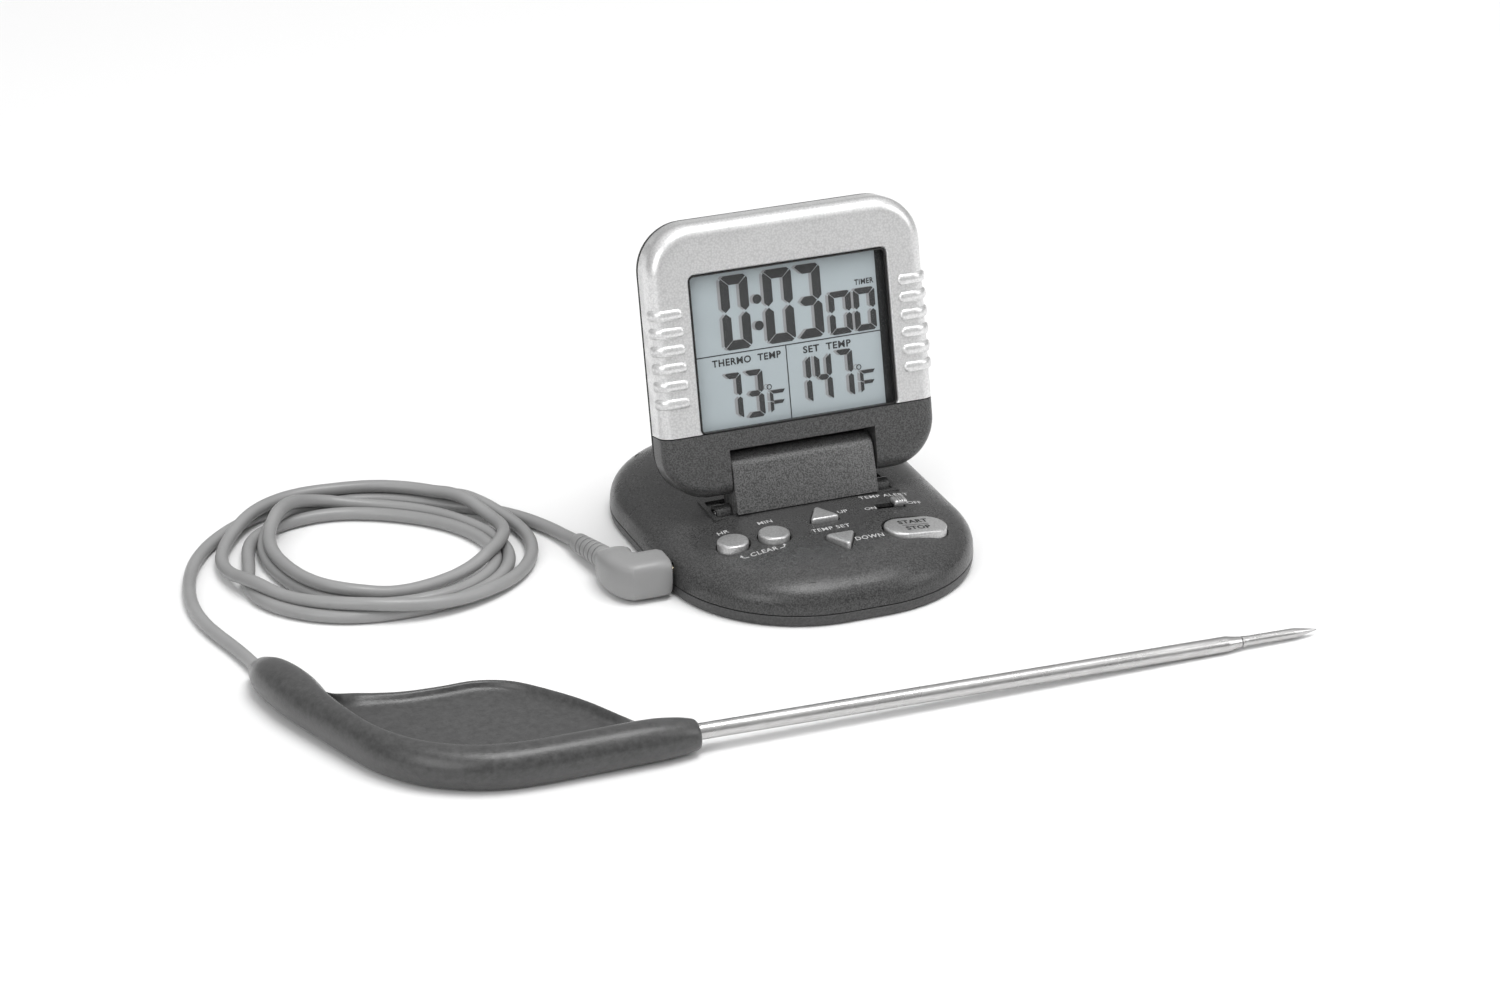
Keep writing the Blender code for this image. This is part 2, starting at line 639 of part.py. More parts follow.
def head_rear(look, parent):
    """The dark back of the head: a tray behind the display and a notched block below it."""
    rings = [head_ring(0.0, HEAD_FRONT_DEPTH + GAP)]
    for inset, depth in rounded_edge(HEAD_REAR_ROUND, 5):
        rings.append(head_ring(inset, HEAD_DEPTH - depth))
    rear = mesh_object("head_rear_shell", in_head(loft(rings)), look, parent=parent)
    tray = head_box((-TRAY_HALF_X, TRAY_H[0], 0.0), (TRAY_HALF_X, TRAY_H[1], TRAY_DEPTH))
    boolean(rear, cutter("rear_tray", [tray], parent), "DIFFERENCE")
    rear_notch = head_box((-NOTCH_HALF_X, -FAR, -5.0), (NOTCH_HALF_X, REAR_NOTCH_TOP, FAR))
    boolean(rear, cutter("rear_notch", [rear_notch], parent), "DIFFERENCE")
    sinks = []
    bores = []
    for x, h in HEAD_SCREWS:
        sinks.append(in_head(loft([[(px, ph, depth) for px, ph in circle(SCREW_SINK, 14, (x, h))]
                                   for depth in (10.6, 20.0)])))
        bores.append(in_head(loft([[(px, ph, depth) for px, ph in circle(SCREW_BORE, 10, (x, h))]
                                   for depth in (2.0, 22.0)])))
    boolean(rear, cutter("rear_sinks", sinks, parent), "DIFFERENCE")
    boolean(rear, cutter("rear_bores", bores, parent), "DIFFERENCE")


def display(frame_look, lens_look, panel_look, strip_look, board_look, chip_look, parent):
    """The display: a black liner round the window, a clear lens, the glass panel, its contact
    strip, the board behind it and the covered driver chip."""

    def ring(inset, depth):
        middle = WINDOW_HIGH / 2
        outline = rounded_rectangle(WINDOW_HALF_X - inset, middle - inset, 1.5 - inset, (0.0, middle), 3)
        return [(x, h, depth) for x, h in outline]

    liner = [ring(0.75, 0.45), ring(0.75, 2.3), ring(-1.8, 2.3), ring(-1.8, 2.15), ring(0.35, 2.15),
             ring(0.35, 0.45)]
    mesh_object("display_liner", in_head(loft(liner, closed=True)), frame_look, parent=parent)
    mesh_object("display_lens", in_head(loft([ring(1.1, 1.1), ring(1.1, 1.8)])), lens_look, parent=parent)
    pieces = (("display_panel", (-26.6, -1.5, 2.6), (26.6, 40.0, 6.5), panel_look),
              ("display_contact_strip", (-24.0, -1.2, 6.8), (24.0, 0.8, 8.2), strip_look),
              ("display_circuit_board", (-27.2, 2.0, 8.5), (27.2, 46.8, 9.4), board_look))
    for name, low, high, look in pieces:
        mesh_object(name, head_box(low, high), look, parent=parent)
    blob = ((6.0, 0.0), (5.6, 0.4), (4.0, 0.75), (1.5, 0.9))
    dome = turned(head_place(6.0, 24.0, 9.7), head_place(6.0, 24.0, 20.0), blob, 16)
    mesh_object("display_driver_chip", dome, chip_look, parent=parent)


def head_screws(look, parent):
    for index, (x, h) in enumerate(HEAD_SCREWS):
        start = head_place(x, h, HEAD_DEPTH)
        end = head_place(x, h, 3.0)
        screw(f"head_screw_{index + 1}", start, end, 0.1, 8.6, look, None, parent)


# --- lead ------------------------------------------------------------------------------------


def tube(name, route, radius, look, resolution, parent=None):
    """A round tube along a route of points, as a filled curve."""
    curve = bpy.data.curves.new(name, "CURVE")
    curve.dimensions = "3D"
    curve.bevel_depth = radius * MM
    curve.bevel_resolution = resolution
    curve.use_fill_caps = True
    shift = Vector(parent.location) / MM if parent else Vector((0.0, 0.0, 0.0))
    spline = curve.splines.new("POLY")
    spline.points.add(len(route) - 1)
    for point, place in zip(spline.points, route):
        point.co = (*((Vector(place) - shift) * MM), 1.0)
    spline.use_smooth = True
    curve.materials.append(look)
    made = bpy.data.objects.new(name, curve)
    if parent:
        made.parent = parent
    bpy.context.collection.objects.link(made)
    return made


def smooth_route(points, spacing):
    """Even points along a Catmull-Rom curve through the given ones."""
    points = [Vector(point) for point in points]
    ends = [2 * points[0] - points[1]] + points + [2 * points[-1] - points[-2]]
    fine = []
    for index in range(1, len(ends) - 2):
        p0, p1, p2, p3 = ends[index - 1:index + 3]
        for step in range(16):
            t = step / 16
            fine.append(0.5 * (2 * p1 + (p2 - p0) * t + (2 * p0 - 5 * p1 + 4 * p2 - p3) * t * t
                               + (3 * p1 - p0 - 3 * p2 + p3) * t * t * t))
    fine.append(points[-1])
    length = sum((b - a).length for a, b in zip(fine, fine[1:]))
    count = max(2, round(length / spacing))
    wanted = length / count
    even = [fine[0]]
    walked = 0.0
    for a, b in zip(fine, fine[1:]):
        stretch = (b - a).length
        while len(even) < count and walked + stretch >= wanted * len(even):
            even.append(a.lerp(b, (wanted * len(even) - walked) / stretch))
        walked += stretch
    even.append(fine[-1])
    return even


RELIEF_START = (-48.95, -4.15, 4.55)
RELIEF_END = (-51.0, 9.9, 3.15)

# Where the cord lies between the plug's strain relief and the coil.
PLUG_LEAD = ((-51.1, 10.2, 3.1), (-52.0, 15.5, 2.3), (-53.3, 20.5, 1.8), (-55.2, 25.5, CORD_Z),
             (-58.2, 31.2, CORD_Z), (-61.8, 37.0, CORD_Z), (-65.2, 42.3, CORD_Z), (-68.4, 47.2, CORD_Z))
# Where it lies between the handle and the coil.
PROBE_LEAD = ((-140.45, -24.35, 2.0), (-141.2, -18.0, 1.8), (-141.9, -13.0, CORD_Z),
              (-144.0, -5.0, CORD_Z), (-145.6, 5.0, CORD_Z),
              (-145.1, 16.0, CORD_Z), (-142.2, 27.0, CORD_Z), (-137.2, 37.5, CORD_Z), (-129.8, 47.0, CORD_Z),
              (-120.6, 54.8, CORD_Z), (-110.0, 60.0, CORD_Z), (-101.5, 61.8, CORD_Z))


def cord(look, parent):
    tube("cord_to_plug", smooth_route(PLUG_LEAD, 5.5), CORD_RADIUS, look, 2, parent)
    tube("cord_to_probe", smooth_route(PROBE_LEAD, 6.5), CORD_RADIUS, look, 2, parent)
    start = (*COIL_CENTRE, 0.1)
    end = (*COIL_CENTRE, 20.0)
    profile = ((COIL_INNER, 1.4), (COIL_INNER + 1.4, 0.0), (COIL_OUTER - 1.4, 0.0), (COIL_OUTER, 1.4),
               (COIL_OUTER, COIL_HEIGHT - 1.6), (COIL_OUTER - 1.6, COIL_HEIGHT), (COIL_INNER + 1.6, COIL_HEIGHT),
               (COIL_INNER, COIL_HEIGHT - 1.6))
    mesh_object("cord_coil", turned(start, end, profile, 32, hollow=True), look, parent=parent)


def plug(body_look, relief_look, metal_look, ring_look, parent):
    """A right-angle plug: a moulded body, its ribbed strain relief and the three-part pin."""
    around = [radians(360 * step / 16) for step in range(16)]

    def section(middle, side, radius, stretch=1.0, outer=1.0):
        points = []
        for turn in around:
            reach = radius * cos(turn) * stretch
            if reach > 0:
                reach *= outer
            points.append((middle[0] + side[0] * reach, middle[1] + side[1] * reach,
                           middle[2] + radius * sin(turn)))
        return points

    rings = [section((PLUG_FACE_X, PLUG_Y, PLUG_Z), (0, -1), PLUG_RADIUS - 0.9),
             section((PLUG_FACE_X - 1.3, PLUG_Y, PLUG_Z), (0, -1), PLUG_RADIUS),
             section((-44.0, PLUG_Y, PLUG_Z), (0, -1), PLUG_RADIUS),
             section((ELBOW_X, PLUG_Y, PLUG_Z), (-0.7071, -0.7071), PLUG_RADIUS, 1.414, 0.88),
             section((ELBOW_X - 0.1, -11.0, PLUG_Z - 0.2), (-1, 0), PLUG_RADIUS - 0.15),
             section((ELBOW_X - 0.4, -6.6, PLUG_Z - 0.6), (-1, 0), 3.7),
             section((ELBOW_X - 0.5, -4.7, PLUG_Z - 0.85), (-1, 0), 2.9)]
    mesh_object("plug_body", loft(rings), body_look, parent=parent)

    start = Vector(RELIEF_START)
    end = Vector(RELIEF_END)
    length = (end - start).length
    profile = [(2.75, 0.0)]
    for rib in range(5):
        base = 0.3 + rib * 2.35
        radius = 2.85 - 0.13 * rib
        profile += [(radius, base + 0.1), (radius, base + 1.5), (radius - 0.6, base + 1.65),
                    (radius - 0.6, base + 2.2)]
    profile += [(2.2, length - 0.9), (2.05, length)]
    mesh_object("plug_strain_relief", turned(start, end, profile, 16), relief_look, parent=parent)

    pieces = (("plug_sleeve", -38.2, -31.2, 1.25, metal_look),
              ("plug_insulator", -30.9, -30.3, 1.1, ring_look))
    for name, low, high, radius, look in pieces:
        profile = ((radius, 0.0), (radius, high - low))
        solid = turned((low, PLUG_Y, PLUG_Z), (high, PLUG_Y, PLUG_Z), profile, 14)
        mesh_object(name, solid, look, parent=parent)
    tip = ((1.25, 0.0), (1.25, 0.5), (0.9, 0.9), (1.2, 1.3), (0.35, 2.2))
    solid = turned((-30.0, PLUG_Y, PLUG_Z), (-27.0, PLUG_Y, PLUG_Z), tip, 14)
    mesh_object("plug_tip", solid, metal_look, parent=parent)


# Handle: at each station, the middle of the round spine, its radius and the pad's far edge.
HANDLE_STATIONS = (
    ((-61.0, -95.0), 3.2, (-61.0, -91.8)), ((-61.7, -95.0), 3.6, (-61.7, -91.4)),
    ((-64.0, -95.0), 4.1, (-64.0, -90.9)), ((-67.0, -95.0), 4.5, (-67.0, -90.5)),
    ((-70.5, -95.0), 4.8, (-70.3, -87.0)), ((-75.5, -95.0), 4.9, (-74.6, -83.2)),
    ((-82.5, -95.0), 4.9, (-79.8, -74.6)), ((-91.0, -95.0), 4.9, (-85.6, -66.2)),
    ((-99.5, -94.8), 4.9, (-92.0, -59.2)), ((-108.0, -93.4), 4.9, (-99.5, -56.0)),
    ((-116.0, -90.0), 4.9, (-107.5, -55.8)), ((-123.3, -84.6), 5.0, (-115.5, -55.2)),
    ((-129.2, -76.3), 5.1, (-121.5, -53.6)), ((-132.9, -66.5), 5.2, (-126.2, -51.8)),
    ((-135.5, -57.0), 5.3, (-128.8, -48.2)), ((-137.6, -48.0), 5.4, (-131.0, -45.0)),
    ((-139.2, -40.5), 5.3, (-134.0, -39.5)), ((-140.3, -34.5), 4.8, (-135.5, -34.0)),
    ((-140.5, -30.0), 3.9, (-136.6, -29.8)), ((-140.5, -27.0), 3.15, (-137.35, -26.9)),
    ((-140.45, -25.4), 2.5, (-137.95, -25.4)), ((-140.4, -24.7), 1.95, (-138.45, -24.7)))
PAD_FLOOR = 5.3
PAD_RIM = 7.4
# The pad is fully shaped where it reaches this far past the spine, and absent where it doesn't.
WIDE_AT = 9.0
# To the right of this the handle is level with the stem.
STEM_SIDE_X = -72.0


def handle_section(spine, radius, edge):
    """One ring of the handle: a circle where it is slim, and a tube, pad and rim where wide."""
    across = Vector((edge[0] - spine[0], edge[1] - spine[1]))
    width = across.length
    across.normalize()
    lift = 0.05
    if spine[0] > STEM_SIDE_X:
        lift = STEM_START.z - 0.35 * (4.9 - radius) - radius
    floor = min(PAD_FLOOR, 1.9 * radius)
    rim = min(PAD_RIM, 1.95 * radius)
    near = 1.35 * radius
    far = max(width - 5.0, near + 0.8)
    turns = (180, 150, 120, 90, 65, 45, 30, 20, 10, 0, -15, -35, -60, -90, -120, -150)
    slim = [(radius * cos(radians(turn)), radius + radius * sin(radians(turn))) for turn in turns]
    wide = [(-radius, radius), (-0.87 * radius, 1.5 * radius), (-0.5 * radius, 1.87 * radius), (0.0, 2 * radius),
            (0.5 * radius, 1.86 * radius), (0.95 * radius, floor + 0.35 * (2 * radius - floor)),
            (near, floor + 0.25), (0.5 * (near + far), floor), (far, floor + 0.25),
            (max(width - 2.6, far + 0.5), rim), (width - 0.9, rim - 0.9), (width, 0.5 * rim),
            (width - 1.2, 0.7), (0.5 * width, 0.25), (0.0, 0.1), (-0.7 * radius, 0.3 * radius)]
    share = min(max((width - radius) / WIDE_AT, 0.0), 1.0)
    share = share * share * (3 - 2 * share)
    ring = []
    for (slim_t, slim_z), (wide_t, wide_z) in zip(slim, wide):
        reach = slim_t + (wide_t - slim_t) * share
        height = slim_z + (wide_z - slim_z) * share
        ring.append((spine[0] + across.x * reach, spine[1] + across.y * reach, height + lift))
    return ring


def stem_point(distance):
    """A point on the probe's axis, measured from the handle's face."""
    direction = (STEM_END - STEM_START).normalized()
    return STEM_START + direction * distance


def probe(handle_look, core_look, steel_look, sensor_look, parent):
    sections = [handle_section(*station) for station in HANDLE_STATIONS]
    handle = mesh_object("probe_handle", loft(sections), handle_look, parent=parent, smooth=50.0)
    room = turned(stem_point(-34.0), stem_point(-8.0), ((3.2, 0.0), (3.2, 26.0)), 16)
    mouth = turned(stem_point(-9.0), stem_point(5.0), ((2.2, 0.0), (2.2, 14.0)), 16)
    boolean(handle, cutter("handle_room", [room], parent), "DIFFERENCE")
    boolean(handle, cutter("handle_mouth", [mouth], parent), "DIFFERENCE")

    core = ((2.2, 0.0), (2.85, 0.0), (2.85, 23.7), (2.2, 23.7))
    solid = turned(stem_point(-32.0), stem_point(0.0), core, 16, hollow=True)
    mesh_object("handle_core", solid, core_look, parent=parent)

    reach = (STEM_END - STEM_START).length
    wall = ((1.45, 0.0), (STEM_RADIUS, 0.0), (STEM_RADIUS, 158.8), (1.75, 159.4), (1.3, 162.2), (0.8, 162.2),
            (0.8, 157.5), (1.45, 156.5))
    solid = turned(stem_point(-31.0), stem_point(9.0), wall, 20, hollow=True)
    mesh_object("probe_stem", solid, steel_look, parent=parent)

    begin = 131.5
    tip = ((TIP_RADIUS + 0.15, 0.0), (TIP_RADIUS + 0.15, 0.6), (TIP_RADIUS, 1.0), (TIP_RADIUS, reach - begin - 6.0),
           (0.15, reach - begin))
    solid = turned(stem_point(begin), stem_point(reach), tip, 16)
    nose = mesh_object("probe_tip", solid, steel_look, parent=parent)
    bore = turned(stem_point(begin - 2.0), stem_point(reach), ((0.8, 0.0), (0.8, 14.0)), 10)
    boolean(nose, cutter("tip_bore", [bore], parent), "DIFFERENCE")

    bead = ((0.3, 0.0), (0.5, 0.3), (0.5, 3.2), (0.3, 3.5))
    solid = turned(stem_point(begin + 7.0), stem_point(reach), bead, 10)
    mesh_object("temperature_sensor", solid, sensor_look, parent=parent)


def build():
    clear_scene()
    dark = finish("dark_plastic", (0.07, 0.07, 0.072), 0.5)
    silver = finish("silver_paint", (0.6, 0.6, 0.61), 0.32, 0.7)
    key = finish("silver_key", (0.52, 0.52, 0.53), 0.35, 0.5)
    black = finish("black_plastic", (0.015, 0.015, 0.015), 0.4)
    clear = finish("clear_plastic", (0.95, 0.96, 0.97), 0.05, 0.0, 0.2)
    glass = finish("display_glass", (0.42, 0.47, 0.48), 0.3)
    rubber = finish("contact_rubber", (0.2, 0.2, 0.22), 0.7)
    board = finish("board_green", (0.03, 0.2, 0.08), 0.5)
    steel = finish("steel", (0.62, 0.61, 0.6), 0.25, 1.0)
    brass = finish("plated_brass", (0.7, 0.62, 0.45), 0.3, 1.0)
    soft = finish("handle_silicone", (0.06, 0.06, 0.062), 0.65)
    grey = finish("cord_grey", (0.26, 0.27, 0.27), 0.5)
    cell = finish("battery_label", (0.05, 0.12, 0.3), 0.35)

    top_shell(dark)
    bottom_cover(dark)
    base_screws(steel)
    battery_parts(dark, cell, brass)
    electronics(board, black, rubber, brass, steel)
    keys(key)
    switch_knob(key)
    hinge(dark, steel)

    head = pivot("head_pivot", (0.0, *UPPER_PIVOT))
    head_bezel(silver, head)
    head_chin(dark, head)
    head_rear(dark, head)
    display(black, clear, glass, rubber, board, black, head)
    head_screws(steel, head)

    lead = pivot("lead_slide", (PLUG_FACE_X, PLUG_Y, PLUG_Z))
    plug(grey, grey, brass, black, lead)
    cord(grey, lead)
    probe(soft, dark, steel, black, lead)


build()
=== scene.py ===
"""The looks of the oven probe thermometer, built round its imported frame.

Lengths are in millimetres until a mesh or a curve is written in metres. +X is the base's
right, -Y its front and +Z up. The head's own plane is x across, h up its face from the
window's lower edge and d into its depth.
"""

from math import asin, atan2, copysign, cos, pi, radians, sin

import bmesh
import bpy
import numpy as np
from mathutils import Matrix, Vector
from mathutils.bvhtree import BVHTree
from mathutils.interpolate import poly_3d_calc


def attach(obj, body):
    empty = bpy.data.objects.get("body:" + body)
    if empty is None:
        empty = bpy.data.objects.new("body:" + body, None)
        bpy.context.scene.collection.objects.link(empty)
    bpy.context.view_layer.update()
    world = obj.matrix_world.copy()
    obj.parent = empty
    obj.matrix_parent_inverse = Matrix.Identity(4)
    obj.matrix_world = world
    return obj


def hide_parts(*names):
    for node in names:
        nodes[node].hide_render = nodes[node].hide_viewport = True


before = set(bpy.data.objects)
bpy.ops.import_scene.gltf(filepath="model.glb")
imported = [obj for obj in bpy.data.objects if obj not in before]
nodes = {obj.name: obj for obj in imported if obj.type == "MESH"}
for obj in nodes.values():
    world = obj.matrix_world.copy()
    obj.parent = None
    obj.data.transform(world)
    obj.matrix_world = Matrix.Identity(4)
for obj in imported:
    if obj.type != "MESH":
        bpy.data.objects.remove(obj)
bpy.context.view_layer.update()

MM = 0.001

# --- camera, floor and light -----------------------------------------------------------------

CAMERA_PLACE = (-386.56, -936.89, 482.56)
CAMERA_BACK = (-0.33771, -0.84088, 0.42293)
CAMERA_TURN = radians(21.88)
CAMERA_LENS = 111.18
FLOOR_HALF = 4000.0


def linear(value):
    """A grey or a channel from its display value, 0 to 255, to scene light."""
    share = value / 255
    return share / 12.92 if share <= 0.04045 else ((share + 0.055) / 1.055) ** 2.4


def grey(value, warm=0.0):
    """A near-neutral colour: warm shifts it a little to red, and a negative one to blue."""
    level = linear(value)
    return (level * (1 + warm), level, level * (1 - warm), 1.0)


def make_camera():
    back = Vector(CAMERA_BACK).normalized()
    right = Vector((cos(CAMERA_TURN), -sin(CAMERA_TURN), 0.0))
    up = back.cross(right).normalized()
    right = up.cross(back)
    data = bpy.data.cameras.new("camera")
    data.lens = CAMERA_LENS
    data.sensor_width = 36.0
    data.clip_end = 20.0
    made = bpy.data.objects.new("camera", data)
    turn = Matrix((right, up, back)).transposed().to_4x4()
    made.matrix_world = Matrix.Translation(Vector(CAMERA_PLACE) * MM) @ turn
    bpy.context.scene.collection.objects.link(made)
    bpy.context.scene.camera = made


def area_light(name, place, aim, size, power):
    data = bpy.data.lights.new(name, "AREA")
    data.shape = "RECTANGLE"
    data.size, data.size_y = size
    data.energy = power
    made = bpy.data.objects.new(name, data)
    made.location = place
    made.rotation_euler = (Vector(aim) - Vector(place)).to_track_quat("-Z", "Y").to_euler()
    bpy.context.scene.collection.objects.link(made)


def make_studio():
    """A white table, a soft box overhead and to the left, and a dim room that metal reflects."""
    scene = bpy.context.scene
    scene.view_settings.view_transform = "Standard"
    world = bpy.data.worlds.new("studio")
    scene.world = world
    world.use_nodes = True
    tree = world.node_tree
    back = tree.nodes["Background"]
    place = tree.nodes.new("ShaderNodeTexCoord")
    parts = tree.nodes.new("ShaderNodeSeparateXYZ")
    ramp = tree.nodes.new("ShaderNodeValToRGB")
    tree.links.new(place.outputs["Generated"], parts.inputs[0])
    tree.links.new(parts.outputs["Z"], ramp.inputs["Fac"])
    tree.links.new(ramp.outputs["Color"], back.inputs["Color"])
    ramp.color_ramp.elements[0].position = 0.0
    ramp.color_ramp.elements[0].color = (0.30, 0.30, 0.30, 1.0)
    ramp.color_ramp.elements[1].position = 0.85
    ramp.color_ramp.elements[1].color = (1.0, 1.0, 1.0, 1.0)
    middle = ramp.color_ramp.elements.new(0.5)
    middle.color = (0.55, 0.55, 0.55, 1.0)
    back.inputs["Strength"].default_value = 0.85
    area_light("soft_box_top", (0.12, -0.3, 1.45), (0.0, -0.02, 0.0), (0.95, 0.6), 14.0)
    area_light("soft_box_left", (-1.2, -0.9, 0.8), (0.0, 0.0, 0.02), (0.9, 0.9), 7.6)
    area_light("soft_box_right", (1.2, -0.8, 0.8), (0.0, 0.0, 0.02), (0.7, 0.9), 5.0)
    mesh = bpy.data.meshes.new("floor")
    half = FLOOR_HALF * MM
    corners = [(-half, -half, 0), (half, -half, 0), (half, half, 0), (-half, half, 0)]
    mesh.from_pydata(corners, [], [(0, 1, 2, 3)])
    table = bpy.data.objects.new("floor", mesh)
    bpy.context.scene.collection.objects.link(table)
    made = bpy.data.materials.new("floor_white")
    made.use_nodes = True
    shader = made.node_tree.nodes["Principled BSDF"]
    shader.inputs["Base Color"].default_value = (0.82, 0.82, 0.82, 1.0)
    shader.inputs["Roughness"].default_value = 0.7
    shader.inputs["Specular IOR Level"].default_value = 0.2
    mesh.materials.append(made)


make_camera()
make_studio()

# --- materials -------------------------------------------------------------------------------


class Look:
    """A Principled material that is put together from procedural nodes."""

    def __init__(self, name, **sockets):
        self.material = bpy.data.materials.new(name)
        self.material.use_nodes = True
        self.tree = self.material.node_tree
        self.shader = self.tree.nodes["Principled BSDF"]
        self.where = self.add("ShaderNodeTexCoord").outputs["Object"]
        for socket, value in sockets.items():
            self.shader.inputs[socket.replace("_", " ")].default_value = value

    def add(self, kind, **values):
        node = self.tree.nodes.new(kind)
        for name, value in values.items():
            setattr(node, name, value)
        return node

    def link(self, start, end):
        self.tree.links.new(start, end)

    def stretched(self, scale):
        node = self.add("ShaderNodeMapping")
        node.inputs["Scale"].default_value = scale
        self.link(self.where, node.inputs["Vector"])
        return node.outputs["Vector"]

    def noise(self, size, detail=2.0, rough=0.5, where=None):
        """Noise whose features are about this many millimetres across."""
        node = self.add("ShaderNodeTexNoise")
        node.inputs["Scale"].default_value = 1 / (size * MM)
        node.inputs["Detail"].default_value = detail
        node.inputs["Roughness"].default_value = rough
        self.link(where or self.where, node.inputs["Vector"])
        return node.outputs["Fac"]

    def cells(self, size, where=None):
        node = self.add("ShaderNodeTexVoronoi")
        node.inputs["Scale"].default_value = 1 / (size * MM)
        self.link(where or self.where, node.inputs["Vector"])
        return node.outputs["Distance"]

    def mapped(self, value, low, high, start=0.3, end=0.7):
        node = self.add("ShaderNodeMapRange")
        node.inputs["From Min"].default_value = start
        node.inputs["From Max"].default_value = end
        node.inputs["To Min"].default_value = low
        node.inputs["To Max"].default_value = high
        self.link(value, node.inputs["Value"])
        return node.outputs["Result"]

    def ramp(self, value, stops):
        node = self.add("ShaderNodeValToRGB")
        elements = node.color_ramp.elements
        while len(elements) < len(stops):
            elements.new(0.5)
        for element, (place, colour) in zip(elements, stops):
            element.position = place
            element.color = colour
        self.link(value, node.inputs["Fac"])
        return node.outputs["Color"]

    def colour(self, value, *stops):
        self.link(self.ramp(value, stops), self.shader.inputs["Base Color"])
        return self

    def roughness(self, value, low, high):
        self.link(self.mapped(value, low, high), self.shader.inputs["Roughness"])
        return self

    def bump(self, *layers):
        """Layers of (height, strength, distance in millimetres), the coarsest first."""
        normal = None
        for value, strength, distance in layers:
            node = self.add("ShaderNodeBump")
            node.inputs["Strength"].default_value = strength
            node.inputs["Distance"].default_value = distance * MM
            self.link(value, node.inputs["Height"])
            if normal:
                self.link(normal, node.inputs["Normal"])
            normal = node.outputs["Normal"]
        self.link(normal, self.shader.inputs["Normal"])
        return self


def moulded(name, value, spread, rough, grain, depth, **sockets):
    """Moulded plastic: a fine spark-eroded grain, faint mottling and a satin face."""
    look = Look(name, **sockets)
    mottle = look.noise(9.0, 3.0)
    fine = look.noise(grain, 2.0, 0.6)
    look.colour(fine, (0.38, grey(value - spread)), (0.62, grey(value + spread)))
    look.roughness(mottle, rough - 0.05, rough + 0.05)
    look.bump((mottle, 0.08, 0.05), (fine, 0.6, depth))
    return look.material


dark_plastic = moulded("moulded_dark_plastic", 60, 16, 0.28, 0.36, 0.07, Specular_IOR_Level=0.36)
dark_side = moulded("moulded_dark_cover", 60, 10, 0.45, 0.5, 0.06, Specular_IOR_Level=0.5)
leaf_plastic = moulded("coarse_dark_plastic", 75, 22, 0.38, 0.36, 0.12, Specular_IOR_Level=0.5)
chin_plastic = moulded("leathery_dark_plastic", 65, 18, 0.36, 0.36, 0.10, Specular_IOR_Level=0.5)
# The rear shell is set darker than the other dark plastics: painted shade on the head's back.
rear_painted_shade_plastic = moulded("shaded_dark_plastic", 46, 8, 0.55, 0.5, 0.06, Specular_IOR_Level=0.25)
black_plastic = moulded("satin_black_plastic", 26, 4, 0.35, 0.4, 0.02)
rubber = moulded("contact_rubber_grey", 96, 5, 0.65, 0.5, 0.05)


def silver_look(name, value, metal, rough):
    """Silver paint: fine flakes that catch the light one by one, over a satin base."""
    look = Look(name, Metallic=metal, Coat_Weight=0.12, Coat_Roughness=0.25)
    flakes = look.cells(0.5)
    cloud = look.noise(14.0, 2.0)
    mixed = look.add("ShaderNodeMix", data_type="FLOAT")
    mixed.inputs["Factor"].default_value = 0.25
    look.link(flakes, mixed.inputs["A"])
    look.link(cloud, mixed.inputs["B"])
    look.colour(mixed.outputs["Result"], (0.1, grey(value + 12)), (0.75, grey(value - 16)))
    look.roughness(cloud, rough - 0.03, rough + 0.05)
    look.bump((flakes, 0.3, 0.03))
    return look.material


silver_paint = silver_look("flaked_silver_paint", 226, 0.75, 0.33)
key_paint = silver_look("flaked_key_paint", 196, 0.7, 0.32)


def cord_look():
    look = Look("grey_vinyl_cord", Specular_IOR_Level=0.5, Coat_Weight=0.1, Coat_Roughness=0.3)
    mottle = look.noise(16.0, 3.0)
    fine = look.noise(0.5, 2.0)
    look.colour(mottle, (0.3, grey(134)), (0.7, grey(143)))
    look.roughness(fine, 0.33, 0.46)
    look.bump((look.noise(3.0, 2.0), 0.15, 0.06), (fine, 0.2, 0.015))
    return look.material


def silicone_look():
    look = Look("mottled_dark_silicone", Specular_IOR_Level=0.6, Sheen_Weight=0.15, Sheen_Roughness=0.5)
    mottle = look.noise(1.5, 4.0, 0.7)
    fine = look.noise(0.45, 3.0, 0.6)
    look.colour(mottle, (0.34, grey(44)), (0.66, grey(64)))
    look.roughness(mottle, 0.28, 0.42)
    look.bump((mottle, 0.3, 0.15), (fine, 0.5, 0.07))
    return look.material


def steel_look(name, value, rough, stretch):
    """Drawn or brushed steel: long fine scratches that break up the reflections."""
    look = Look(name, Metallic=1.0)
    along = look.stretched(stretch)
    lines = look.noise(0.35, 3.0, 0.6, along)
    cloud = look.noise(12.0, 2.0)
    look.colour(lines, (0.25, grey(value - 16, 0.01)), (0.75, grey(value + 10, 0.005)))
    look.roughness(cloud, rough - 0.04, rough + 0.07)
    look.bump((lines, 0.18, 0.02))
    return look.material


cord_grey = cord_look()
silicone = silicone_look()
stem_steel = steel_look("brushed_stem_steel", 196, 0.27, (0.12, 1.0, 1.0))
screw_steel = steel_look("screw_steel", 176, 0.33, (1.0, 1.0, 1.0))


def plated_look():
    look = Look("plated_brass_metal", Metallic=1.0)
    lines = look.noise(0.4, 3.0)
    look.colour(lines, (0.3, (0.62, 0.54, 0.38, 1.0)), (0.7, (0.75, 0.68, 0.52, 1.0)))
    look.roughness(lines, 0.22, 0.34)
    look.bump((lines, 0.1, 0.01))
    return look.material


